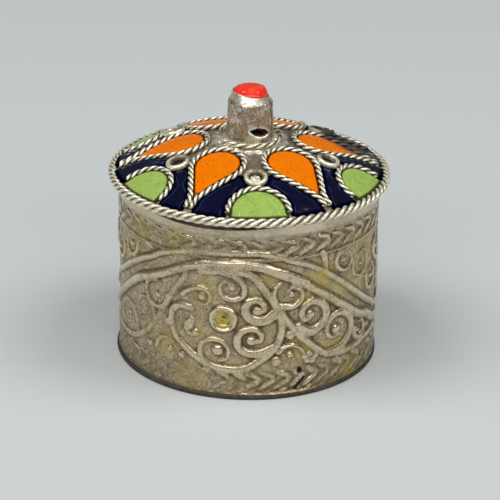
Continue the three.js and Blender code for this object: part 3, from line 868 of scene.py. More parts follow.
MEDALLION_SCROLLS = (
    curl(-6.5, 17.15, 0.56, 0.8, (-10.5, 19.3), (-6.1, 18.9), (-3, 18.2), (-1.1, 17.2), (-1.5, 16.1),
         (-3.5, 15.5), (-6.5, 15.25), (-9.6, 15.6), (-11.4, 16.5), (-11.2, 17.5), (-9, 18.0),
         (-6.8, 17.4)),
    curl(4.35, 13.64, 0.62, 1.3, (12.2, 13.1), (9.1, 12.3), (5.6, 12.1), (1.7, 12.5), (-0.6, 13.6),
         (0.4, 14.8), (3.5, 15.3), (6.6, 14.9), (7.6, 13.9), (5.4, 13.4)),
    curl(2.2, 9.1, 0.72, 1.12, (11.3, 7.8), (7.8, 7.3), (3.5, 7.1), (-0.9, 7.4), (-3.5, 8.35),
         (-3.8, 9.4), (-2.3, 10.35), (0.9, 10.9), (4.1, 10.8), (6.5, 10.0), (6.4, 9.1), (3.6, 8.9)),
    curl(-12.4, 7.4, 0.85, 0.8, (-16.5, 5.2), (-19.2, 6.1), (-20.2, 7.1), (-19.3, 8.2), (-17, 8.8),
         (-13.9, 9.05), (-10.7, 8.85), (-8.3, 8.1), (-7.4, 7.1), (-8.6, 6.2), (-11.4, 5.85), rise=0.3),
    curl(-25.4, 10.7, 0.85, 0.95, (-24.2, 11.4), (-26.4, 10.7), (-26.2, 9.7), (-23.6, 9.1), rise=0.36),
    curl(-19.6, 15.35, 0.64, 0.72, (-29, 15.1), (-26, 15.9), (-23, 16.4), (-19.6, 16.55), (-16.6, 16.1),
         (-15.8, 15.2), (-17, 14.4), (-19.3, 14.1), (-21.3, 14.4), rise=0.34),
)
SIDE_SCROLLS = (
    curl(19.4, 15.85, 0.5, 0.8, (14.1, 14.3), (17, 14.05), (20.1, 14.0), (22.9, 14.5), (24.4, 15.3),
         (24, 16.1), (22.2, 16.7), (19.7, 16.9), (17.6, 16.4)),
    curl(28.6, 12.3, 0.72, 1.35, (23.3, 10.6), (27.4, 9.8), (31.5, 9.8), (34.8, 10.6), (36.8, 11.9),
         (35.8, 13.1), (32.9, 14.0), (29.1, 14.3), (25.8, 13.7), (24.4, 12.6), (25.6, 11.7), (28.2, 11.8)),
    curl(42.9, 8.95, 0.8, 1.1, (38, 5.6), (43, 5.7), (47.5, 6.1), (50.8, 7.1), (52.7, 8.4), (51.5, 9.8),
         (48.1, 10.9), (43.2, 11.35), (39.1, 10.7), (37.4, 9.5), (38.2, 8.3), (41.2, 7.8), (44.4, 8.0)),
    curl(58.1, 7.15, 0.5, 0.75, (55, 7.8), (55.2, 6.7), (58.4, 5.95), (62.2, 6.3), (63.4, 7.3),
         (61.6, 8.2), (59.1, 8.3)),
    curl(19.4, 6.65, 0.55, 0.6, (14.4, 7.1), (16.4, 7.8), (19.7, 8.05), (23.4, 7.6), (25.8, 6.6),
         (26.2, 5.6)),
    curl(-41.7, 13.9, 0.55, 0.8, (-35.8, 14.3), (-37.4, 12.8), (-41.5, 12.0), (-46.5, 12.5),
         (-49.3, 13.9), (-47.8, 15.4), (-43.2, 15.9), (-39.6, 15.4), rise=0.3),
    curl(-49.7, 10.85, 0.42, 0.75, (-44.2, 9.2), (-44.4, 10.8), (-46.4, 12.0), (-50.6, 12.6),
         (-54.9, 11.7), (-55.2, 10.1), (-51.2, 9.2), (-48, 9.8), rise=0.26),
    curl(-63.1, 8.6, 0.45, 0.8, (-55.4, 6.2), (-56.6, 8.4), (-60.5, 9.9), (-66.7, 10.1),
         (-72.3, 8.9), (-72.3, 7.4), (-67.8, 6.7), (-63.4, 7.1), rise=0.26),
    curl(-35.2, 6.1, 0.5, 0.7, (-42.8, 5.9), (-41, 7.1), (-37.2, 7.8), (-33.2, 7.3), (-31.6, 6.2), rise=0.3),
    curl(46, 19.3, 0.5, 0.65, (43.4, 20.7), (41.6, 19.8), (41.9, 18.7), (45.3, 17.8), (49.5, 17.9),
         (51.2, 19), (49.6, 20.2)),
    curl(58.5, 17.5, 0.4, 0.42, (52.6, 18.9), (53, 16.6), (57.8, 15.7), (63, 16.7), (64, 18.2),
         (60.5, 19.4), (56.4, 18.9), (55.3, 17.5), (57.8, 16.5), (61.2, 17.2), rise=0.3),
    curl(69.5, 14.3, 0.55, 0.6, (64, 14.9), (65.6, 13.0), (69.6, 12.4), (73.8, 13.5), (74, 15.2),
         (70.5, 16.0), (67.2, 15.2), rise=0.3),
    curl(-60, 19.7, 0.55, 0.7, (-55.3, 20.6), (-56.5, 18.9), (-60.6, 17.9), (-65.4, 18.9), (-65, 20.4),
         rise=0.26),
    curl(-76, 17.3, 0.6, 0.75, (-69, 18.4), (-70.5, 16.7), (-75, 15.7), (-80, 16.6), (-80.6, 18.4),
         (-77, 19.4), rise=0.28),
    curl(76.2, 18.0, 0.55, 0.8, (81.2, 12.4), (80.2, 15.4), (76, 16.2), (72.6, 17.4), (73.2, 19.4),
         (77.2, 19.7)),
    curl(89.2, 18.0, 0.55, 0.8, (84.2, 12.4), (85.2, 15.4), (89.4, 16.2), (92.8, 17.4), (92.2, 19.4),
         (88.2, 19.7)),
)
LOOSE_BALLS = (
    Ball(19.3, 9.6, 0.72), Ball(13.2, 5.75, 0.8), Ball(26.2, 6.05, 0.5), Ball(28.8, 6.2, 0.5),
    Ball(27.6, 5.3, 0.55), Ball(30.2, 5.15, 0.55), Ball(31.8, 5.8, 0.5), Ball(-35.8, 10.3, 0.72),
    Ball(-46.7, 5.9, 0.6), Ball(-28.8, 5.75, 0.62), Ball(-22.2, 9.6, 0.6), Ball(66.5, 7.0, 0.5),
    Ball(-72, 7.2, 0.5), Ball(-80, 6.8, 0.5), Ball(19.8, 17.1, 0.42),
)
GILT_REMAINS = (
    (33.0, 17.6, 3.2, 0.5), (45.0, 14.6, 2.2, 0.35), (24.0, 7.2, 2.4, 0.5), (40.0, 7.2, 2.2, 0.4),
    (-36.0, 7.6, 2.8, 0.5), (-30.0, 23.0, 2.6, 0.5), (-18.0, 9.4, 2.0, 0.35), (-17.5, 16.6, 2.2, 0.4),
    (26.0, 15.2, 1.8, 0.45), (62.0, 16.2, 3.6, 0.4), (55.0, 21.6, 2.4, 0.35), (-62.0, 19.0, 3.4, 0.35),
    (-52.0, 22.8, 2.6, 0.4), (-24.0, 3.0, 2.6, 0.35), (52.0, 2.8, 3.0, 0.45), (9.0, 18.2, 1.4, 0.4),
)


@dataclass(frozen=True)
class LeafRow:
    """A row of small leaves that goes evenly round half the wall.

    The low and the high end are the first leaf's, in degrees and height, and the bow is how
    far its middle goes sideways, in degrees.
    """

    count: int
    low: Place
    high: Place
    width: float
    bow: float


LEAF_ROWS = (
    LeafRow(24, (0.0, 21.7), (8.0, 23.1), 0.82, -1.2), LeafRow(24, (0.6, 24.15), (7.4, 23.2), 0.6, 1.0),
    LeafRow(27, (0.2, 4.25), (6.4, 3.0), 0.8, 1.0), LeafRow(27, (0.0, 1.65), (6.0, 2.85), 0.8, -0.9),
    LeafRow(27, (1.0, 1.22), (4.4, 1.3), 0.4, 0.0),
)


@dataclass
class Relief:
    """The chasing's height over its ground, on a grid that goes half the way round."""

    radius: float
    low: float
    high: float
    leaf_rise: float = 0.24
    spreading: float = 1.2
    punch_step: float = 0.09
    columns: int = 468
    rows: int = 206
    height: Array = field(init=False)
    # Black: the nicks, and painted shade in the boss's bowl and below its knob.
    soot_and_shade: Array = field(init=False)
    gilt: Array = field(init=False)

    def __post_init__(self) -> None:
        """Start with bare ground."""
        self.across = self.arc(180.0) / self.columns
        self.up = (self.high - self.low) / (self.rows - 1)
        self.levels = self.low + self.up * np.arange(self.rows)
        self.height, self.soot_and_shade, self.gilt = (np.zeros((self.rows, self.columns)) for _ in range(3))

    def arc(self, degrees: float) -> float:
        """Distance along the wall from its front to an angle."""
        return math.radians(degrees) * self.radius

    def spot(self, grid: Array, x: float, z: float, radius: float, rise: float, power: float = ROUND) -> None:
        """Raise a round spot.

        Args:
            grid: The grid that it is raised on.
            x: Its place round the wall, as an arc.
            z: Its height on the wall.
            radius: Its radius.
            rise: How far it stands proud.
            power: Its fullness, 2 for a ball and more for a flatter top.
        """
        reach = int(radius / min(self.across, self.up)) + 2
        columns = np.arange(-reach, reach + 1) + int(x // self.across)
        rows = np.arange(-reach, reach + 1) + int((z - self.low) // self.up)
        rows = rows[(rows >= 0) & (rows < self.rows)]
        away = np.hypot(columns * self.across - x, (rows * self.up + self.low - z)[:, None]) / radius
        dome = rise * (1.0 - share(away) ** power) ** (1.0 / power)
        window = np.ix_(rows, columns % self.columns)
        grid[window] = np.maximum(grid[window], dome)

    def line(self, line: Line) -> None:
        """Raise a line, as the mark of a punch that moves along it.

        Args:
            line: The line.
        """
        points = smooth_line(line.places, self.punch_step, (self.arc(1.0), 1.0))
        widths = line.width * line.taper.shares(np.linspace(0.0, 1.0, len(points)))
        for (x, z), width in zip(points, widths):
            rise = line.rise * min(1.0, width / line.width + 0.2)
            self.spot(self.height, x, z, width * self.spreading / 2, rise, line.fullness)

    def ball(self, ball: Ball) -> None:
        """Raise a ball; a larger one stands higher."""
        self.spot(self.height, self.arc(ball.degrees), ball.height, ball.radius, 0.32 + 0.16 * ball.radius)

    def band(self, low: float, high: float, rise: float, edge: float = 0.16) -> None:
        """Raise a level band whose edges rise over a height."""
        inside = np.minimum(self.levels - low, high - self.levels) / edge
        self.height = np.maximum(self.height, rise * share(inside + 0.5)[:, None])

    def leaves(self, row: LeafRow) -> None:
        """Raise a row of leaves, each a little different.

        Args:
            row: The row.
        """
        middle = ((row.low[0] + row.high[0]) / 2 + row.bow, (row.low[1] + row.high[1]) / 2)
        for i in range(row.count):
            turn = 180.0 * i / row.count
            sway = rough(np.array([[1.37 * i, row.low[1], z] for z in (0.0, 4.0, 8.0)]), 1.0)
            places = tuple(
                (degrees + turn + 1.6 * shift, z + 0.3 * shift)
                for (degrees, z), shift in zip((row.low, middle, row.high), sway)
            )
            rise = self.leaf_rise * (1.0 + 0.7 * float(sway[1]))
            self.line(Line(places, row.width * (1.0 + 0.4 * float(sway[0])), rise, Taper.LEAF))


@dataclass(frozen=True)
class Boss:
    """The ringed boss in the middle of the medallion, sunk to a bowl with a small knob in it."""

    degrees: float = -10.0
    height: float = 12.3
    radius: float = 1.76
    rise: float = 0.2
    ring_width: float = 0.5
    ring_rise: float = 0.46
    bowl_radius: float = 1.08
    bowl_edge_width: float = 0.3
    bowl_edge_rise: float = 0.26
    bowl_depth: float = 0.62
    knob_radius: float = 0.34
    knob_rise: float = 0.16
    gilt_share: float = 0.42

    def chase(self, relief: Relief) -> None:
        """Chase the boss, with painted shade in its bowl and below its knob, and gilding over it.

        Args:
            relief: The relief that it is added to.
        """
        arc, height = relief.arc(self.degrees), self.height
        relief.spot(relief.height, arc, height, self.radius, self.rise, FLAT_TOPPED)
        turn, per_degree = np.linspace(0.0, FULL_TURN, 25), relief.arc(1.0)
        for radius, width, rise in (
            (self.radius, self.ring_width, self.ring_rise),
            (self.bowl_radius, self.bowl_edge_width, self.bowl_edge_rise),
        ):
            places = zip(self.degrees + radius / per_degree * np.cos(turn), height + radius * np.sin(turn))
            relief.line(Line(tuple(places), width, rise, fullness=ROUND))
        bowl = np.zeros_like(relief.height)
        relief.spot(bowl, arc, height, self.bowl_radius, self.bowl_depth)
        relief.height -= bowl
        relief.spot(relief.height, arc, height, self.knob_radius, self.knob_rise)
        # Painted shade: the bowl is darkened at its upper right side and just below the knob.
        relief.spot(relief.soot_and_shade, arc + 0.34, height + 0.5, 0.55, 0.42)
        relief.spot(relief.soot_and_shade, arc - 0.1, height - 0.34, 0.3, 0.4)
        relief.spot(relief.gilt, arc, height, self.radius - 0.2, self.gilt_share, FLAT_TOPPED)
        relief.spot(relief.gilt, arc, height, self.bowl_radius, 1.0, FLAT_TOPPED)


@dataclass
class ChasedBody:
    """The box's lower part: a chased wall with plain edges, closed by a disc below."""

    boss: Boss = Boss()
    wall_inside: float = 18.3
    ground_depth: float = 0.4
    lid_seam: float = 0.045
    seam_gap: float = 0.2
    seam_dip: float = 0.62
    dip_from: float = -48.0
    dip_to: float = 12.0
    dip_reach: float = 2.5
    edge_rounding: float = 0.12
    nick_degrees: float = 23.8
    stipple: float = 0.07
    inner_rings: int = 9
    disc_sides: int = 240
    disc_rings: int = 24
    disc_rounding: float = 0.22

    def __post_init__(self) -> None:
        """Read the sizes that the frame sets."""
        wall, disc = Extent.of("body_wall"), Extent.of("base_plate")
        self.radius, self.foot = wall.radius, wall.foot
        self.disc_radius, self.disc_top = disc.radius, disc.top
        self.top = Extent.of("lid_plate").foot - self.lid_seam

    def chase(self) -> Relief:
        """Chase the whole pattern of half the wall.

        Returns:
            The relief.
        """
        relief = Relief(self.radius, self.foot, self.top - self.edge_rounding)
        for line in (RIBBON_OUTER, RIBBON_INNER, RIBBON_CREST, MEDALLION, *STEMS):
            relief.line(line)
        for scroll in (*MEDALLION_SCROLLS, *SIDE_SCROLLS):
            relief.line(scroll.line)
            relief.ball(scroll.ball)
        for ball in LOOSE_BALLS:
            relief.ball(ball)
        self.boss.chase(relief)
        self.chase_borders(relief)
        for degrees, height, radius, thickness in GILT_REMAINS:
            relief.spot(relief.gilt, relief.arc(degrees), height, radius, thickness)
        return relief

    def chase_borders(self, relief: Relief) -> None:
        """Chase the laurel borders, the plain edges and the black nicks in the lower border.

        Args:
            relief: The relief that they are added to.
        """
        relief.band(21.9, 24.3, 0.06)
        relief.band(1.4, 4.3, 0.05)
        for row in LEAF_ROWS:
            relief.leaves(row)
        relief.band(24.6, self.top + 3.0, 0.2, 1.3)
        relief.band(21.05, 21.45, 0.24)
        relief.band(self.foot - 1.0, 0.95, 0.3)
        arc = relief.arc(self.nick_degrees)
        relief.spot(relief.soot_and_shade, arc, 4.02, 0.5, 1.0, SQUARISH)
        for step in np.linspace(-1.0, 1.0, 9):
            relief.spot(relief.soot_and_shade, arc + 0.62 * step, 2.06 + 0.68 * step, 0.34, 1.0, SQUARISH)

    @staticmethod
    def rubbed(height: Array, skin: Array) -> Array:
        """Rub the relief down in patches."""
        patches = 0.4 + 0.9 * rough(skin, 7.0, 12.0) + 0.5 * rough(skin, 2.4, 3.0)
        return height * (1.0 - 0.35 * share(patches))

    @staticmethod
    def thinned(gilt: Array, height: Array, skin: Array) -> Array:
        """Break up the gilding where it is thin, and take it off what stands proud."""
        gilt = share(gilt * np.where(gilt < THIN, 0.75 + 1.3 * rough(skin, 1.6, 6.0), 1.0))
        return gilt * np.where(gilt < THIN, np.clip(1.2 - height / 0.4, 0.2, 1.0), 1.0)

    @staticmethod
    def worn_left(height: Array, degrees: Array, upright: Array) -> Array:
        """Wear the relief off at the left, most of all its borders.

        Args:
            height: The relief's height.
            degrees: Angles of the columns.
            upright: Heights of the rows.

        Returns:
            What is left of the height.
        """
        laurels = 0.4 * ramp(upright, 20.6, 1.2) * ramp(upright, 24.4, -0.6)
        worn = np.maximum(np.maximum(laurels, 0.5 * ramp(upright, 4.4, -0.6)), 0.12)
        return height * (1.0 - hump(degrees - 318.0, 40.0) * worn)

    def stippled(self, height: Array, skin: Array) -> Array:
        """Stipple the wall, its ground more than what stands proud."""
        grain = rough(skin, 0.6) + 0.5 * rough(skin, 0.3, 9.0)
        return height + self.stipple * grain * (0.2 + 0.8 * ramp(height, 0.2, -0.2))

    @staticmethod
    def ridges(proud: Array, upright: Array) -> Array:
        """Work out the "relief" mark: more where worn and on the plain top band, and less at the foot, as
        painted shade.
        """
        mark = 0.385 + 0.2 * share(proud / 0.34) + 0.34 * share((proud - blurred(proud, 20)) / 0.2)
        # Painted shade: the wall's foot is darkened towards the floor.
        return mark + 0.4 * ramp(upright, 23.6, 0.8) - 0.5 * ramp(upright, 0.95, -0.2)

    @staticmethod
    def hollow_dirt_and_shade(height: Array, proud: Array) -> Array:
        """Work out the mark of dark hollows, dirt with painted shade: low places with something proud beside
        them.
        """
        beside, between = blurred(height, 10) / 0.11 - 0.25, blurred(height, 44) / 0.14 - 0.5
        return share(share(beside) + 0.8 * share(between)) * share(1.1 - proud / 0.18)

    def seam_drop(self, signed: Array) -> Array:
        """Work out how far the wall's upper edge lies below the lid."""
        middle, reach = (self.dip_from + self.dip_to) / 2, (self.dip_to - self.dip_from) / 2
        return self.seam_gap + self.seam_dip * share(1.0 - ((signed - middle) / reach) ** 2)

    def marked(self, relief: Relief, degrees: Array, signed: Array) -> tuple[Array, Marks]:
        """Repeat the chasing all round, and wear it.

        Args:
            relief: The relief of half the wall.
            degrees: Angles of the columns, 0 to 360.
            signed: The same angles, -180 to 180.

        Returns:
            The height of the wall's skin over the ground, and its marks.
        """
        height, soot_and_shade, gilt = (np.hstack([grid, grid]) for grid in (relief.height, relief.soot_and_shade, relief.gilt))
        upright = relief.levels[:, None]
        skin = around(np.full(relief.rows, self.radius), relief.levels, len(degrees))
        height = self.rubbed(blurred(height, 1), skin)
        gilt = self.thinned(gilt, height, skin)
        height = self.worn_left(height, degrees, upright)
        proud = self.stippled(height, skin)
        soot_and_shade = soot_and_shade * (np.abs(signed) < 90.0)
        ridges, hollow_dirt_and_shade = self.ridges(proud, upright), self.hollow_dirt_and_shade(height, proud)
        return proud, {"relief": ridges, "crevice_dirt_and_shade": hollow_dirt_and_shade, "soot_and_shade": soot_and_shade, "gilt": gilt}

    def wall(self) -> Piece:
        """Build the wall: chased outside, plain inside, a little out of round.

        Returns:
            The piece.
        """
        relief = self.chase()
        upright, columns = relief.levels[:, None], 2 * relief.columns
        degrees = np.arange(columns) * (360.0 / columns)
        radians, signed = np.radians(degrees), (degrees + 180.0) % 360.0 - 180.0
        proud, marks = self.marked(relief, degrees, signed)
        sway = 0.05 * np.sin(2 * radians + 1.0) + 0.04 * np.sin(3 * radians + 2.2 + 0.1 * upright)
        outside = self.radius - self.ground_depth + proud - 0.08 * marks["soot_and_shade"] + sway
        drop = self.seam_drop(signed)
        levels = upright - drop * ramp(upright, self.top - self.dip_reach, self.dip_reach)
        back = np.full((self.inner_rings + 1, 1), self.wall_inside)
        back[0] += self.edge_rounding
        inner_levels = np.linspace(self.top - self.edge_rounding, self.foot, self.inner_rings)
        back_levels = np.concatenate([[self.top], inner_levels])[:, None]
        back_levels = back_levels - drop * (np.arange(len(back)) < 2)[:, None]
        radius = np.vstack([outside, outside[-1:] - self.edge_rounding, back + sway[-1:]])
        level = np.vstack([levels, self.top - drop[None, :], back_levels])
        points = np.stack([radius * np.sin(radians), -radius * np.cos(radians), level], axis=-1)
        plain = np.full((len(radius) - relief.rows, columns), 0.6)
        marks = {name: np.vstack([mark, plain * (name == "relief")]) for name, mark in marks.items()}
        return make_piece("chased_wall", points, ring_faces(len(radius), columns, True), marks, 50.0)

    def disc(self) -> Piece:
        """Build the disc that closes the box below, hammered a little hollow.

        Returns:
            The piece.
        """
        bend, turn = self.disc_rounding, np.linspace(0.0, math.pi / 2, 5)
        flat, top = self.disc_radius - bend, self.disc_top
        out = np.linspace(0.0, flat, self.disc_rings)
        radius = np.concatenate([out, flat + bend * np.sin(turn), flat + bend * np.cos(turn), out[::-1]])
        level = np.concatenate([
            np.zeros_like(out), bend - bend * np.cos(turn),
            top - bend + bend * np.sin(turn), np.full_like(out, top),
        ])
        points = around(radius, level, self.disc_sides)
        inside = (points[..., 2] > 0.0) & (off_axis(points) < self.disc_radius - 1.0)
        points[..., 2] += np.where(inside, 0.025 * rough(points, 2.6, 4.0) - 0.03, 0.0)
        # Painted shade: the disc's edge is dulled and darkened where it meets the floor.
        rim = ramp(off_axis(points), self.disc_radius - 0.6, 0.4)
        marks = {"relief": 0.55 - 0.3 * rim + 0.2 * rough(points, 1.5), "soot_and_shade": 0.8 * rim}
        faces = ring_faces(len(radius), self.disc_sides, False)
        return make_piece("foot_disc", points, faces, marks, 50.0, True)

    def build(self) -> None:
        """Make and dress the body's pieces."""
        dress(self.wall(), Body.BOX, Slot.BODY, BODY_SILVER.material(), "body_wall")
        dress(self.disc(), Body.BOX, Slot.BODY, INNER_SILVER.material(), "base_plate")


# The lid


@dataclass(frozen=True)
class Dome:
    """The lid's domed face, and how flat places on it are laid on the dome.

    A flat place is (along, across): along runs from the middle of the lid outwards.
    """

    rim_radius: float
    rim_level: float
    rise: float

    @classmethod
    def from_frame(cls, band_height: float = 0.966, rise: float = 4.98) -> "Dome":
        """Fit the dome to the frame's lid plate, above its edge band."""
        plate = Extent.of("lid_plate")
        return cls(plate.radius, plate.foot + band_height, rise)

    @property
    def sphere(self) -> float:
        """Radius of the sphere that the dome is part of."""
        return (self.rim_radius**2 + self.rise**2) / (2 * self.rise)

    @property
    def centre(self) -> Array:
        """Centre of that sphere."""
        return np.array([0.0, 0.0, self.rim_level + self.rise - self.sphere])

    def lay(self, flat: Array, lift: float | Array) -> Array:
        """Lay flat points (x, y) on the dome, or a lift outside it."""
        level = self.centre[2] + np.sqrt((self.sphere + lift) ** 2 - (flat**2).sum(axis=-1))
        return np.concatenate([flat, level[..., None]], axis=-1)

    def outward(self, points: Array) -> Array:
        """Directions away from the sphere's centre."""
        return unit(points - self.centre)

    def stand(self, points: Array, foot: Array) -> Array:
        """Stand on the dome, at a foot on it, what was made upright at the origin."""
        tilt = Vector((0.0, 0.0, 1.0)).rotation_difference(Vector(self.outward(foot)))
        return points @ np.array(tilt.to_matrix()).T + foot

    @staticmethod
    def turned(flat: Array, degrees: float) -> Array:
        """Turn places to an angle round the lid.

        Args:
            flat: Places (along, across).
            degrees: The angle.

        Returns:
            The places, as (x, y).
        """
        angle = math.radians(degrees)
        along, across = flat[..., 0], flat[..., 1]
        x = along * math.sin(angle) + across * math.cos(angle)
        return np.stack([x, across * math.sin(angle) - along * math.cos(angle)], axis=-1)


@dataclass(frozen=True)
class TwistedWire:
    """Strands laid round each other, the hollows between them partly filled."""

    radius: float
    steps_per_turn: int = 16
    sides: int = 14
    strands: int = 2
    fullness: float = 0.55
    groove_share: float = 0.5
    # How far dirt and painted shade reach up out of the grooves.
    groove_dirt_and_shade_reach: float = 1.5
    filled_below: float = 0.1
    flooded: float = 0.93
    unevenness: float = 0.045
    end_length: float = 0.3
    # How far the wire's underside is darkened, as painted shade.
    painted_shade: float = 0.1

    def sections(self, line: Array, turns: float, closed: bool) -> tuple[Array, Array, Array, Array]:
        """Step along a line in sections of the twist.

        Args:
            line: Points of the wire's middle.
            turns: How many full turns the strands make.
            closed: Whether the wire closes on itself.

        Returns:
            Each section's centre, direction, turn of the strands, and distance to the nearer end.
        """
        loop = np.vstack([line, line[:1]]) if closed else line
        runs = np.concatenate([[0.0], np.cumsum(np.linalg.norm(np.diff(loop, axis=0), axis=1))])
        length, steps = runs[-1], int(round(turns * self.steps_per_turn))
        at = np.arange(steps if closed else steps + 1) * (length / steps)

        def place(run: Array) -> Array:
            """Points at distances along the line."""
            run = np.mod(run, length) if closed else np.clip(run, 0.0, length)
            return np.stack([np.interp(run, runs, axis) for axis in loop.T], axis=1)

        centre = place(at)
        centre += 0.05 * np.stack([rough(centre, 5.0, seed) for seed in (1.0, 2.0, 3.0)], axis=1)
        along = unit(place(at + 0.1) - place(at - 0.1))
        return centre, along, FULL_TURN * turns * at / length, np.minimum(at, length - at)

    def sweep(
        self, line: Array, outward: Shaper, turns: float, closed: bool, flood: Shaper | None = None
    ) -> tuple[Array, Array, Array]:
        """Run the wire along a line.

        Args:
            line: Points of the wire's middle.
            outward: Gives the direction away from what the wire lies on.
            turns: How many full turns the strands make.
            closed: Whether the wire closes on itself.
            flood: Gives at each point how far solder fills the hollows, 0 to 1.

        Returns:
            The points, the faces and the "relief" marks.
        """
        centre, along, turned, to_end = self.sections(line, turns, closed)
        across = unit(np.cross(outward(centre), along))
        up = np.cross(along, across)
        round_section = np.arange(self.sides) * (FULL_TURN / self.sides)
        angle = round_section[None, :] - (turned + 0.25 * rough(centre, 2.2, 5.0))[:, None]
        side = across[:, None] * np.cos(angle)[..., None] + up[:, None] * np.sin(angle)[..., None]
        lobe = np.abs(np.cos(round_section * self.strands / 2))[None, :] ** self.fullness
        groove = self.groove_share + self.filled_below * share(-np.sin(angle))
        if flood is not None:
            groove = groove + (self.flooded - groove) * flood(centre[:, None] + side * self.radius)
        reach = (lobe**5 + groove**5) ** 0.2 / (1.0 + groove**5) ** 0.2
        relief = ramp(reach, self.groove_share, 0.95 - self.groove_share)
        # Painted shade: the wire's underside is darkened.
        relief = relief - self.painted_shade * share(0.45 - np.sin(angle))
        even = 1.0 + self.unevenness * rough(centre, 1.4, 7.0)[:, None]
        if not closed:
            even = even * np.sqrt(share(to_end / self.end_length))[:, None]
        points = centre[:, None] + side * (self.radius * reach * even)[..., None]
        return points, ring_faces(len(centre), self.sides, closed), relief

    def marks(self, points: Array, relief: Array, scorch_share: float = 1.0) -> Marks:
        """Work out the wire's marks."""
        # Dirt and painted shade in the grooves between strands, and on the underside.
        crevice_dirt_and_shade = 1.0 - share(self.groove_dirt_and_shade_reach * relief)
        return {"relief": relief, "crevice_dirt_and_shade": crevice_dirt_and_shade, "scorch": scorch_share * scorched(points)}

    def coil(
        self, name: str, rope: Extent, turns: float, flood: Shaper, sides: int, scorch_share: float = 0.0
    ) -> Piece:
        """Close the wire to a level ring.

        Args:
            name: Name of the piece.
            rope: The extent of the node that it stands for.
            turns: How many full turns the strands make.
            flood: Gives at each point how far solder fills the hollows, 0 to 1.
            sides: Corners of the ring that it follows.
            scorch_share: How much of the lid's scorching it took.

        Returns:
            The piece.
        """
        line = around(np.array([rope.radius - self.radius]), np.array([rope.middle]), sides)[0]
        points, faces, relief = self.sweep(line, upwards, turns, True, flood)
        return make_piece(name, points, faces, self.marks(points, relief, scorch_share))


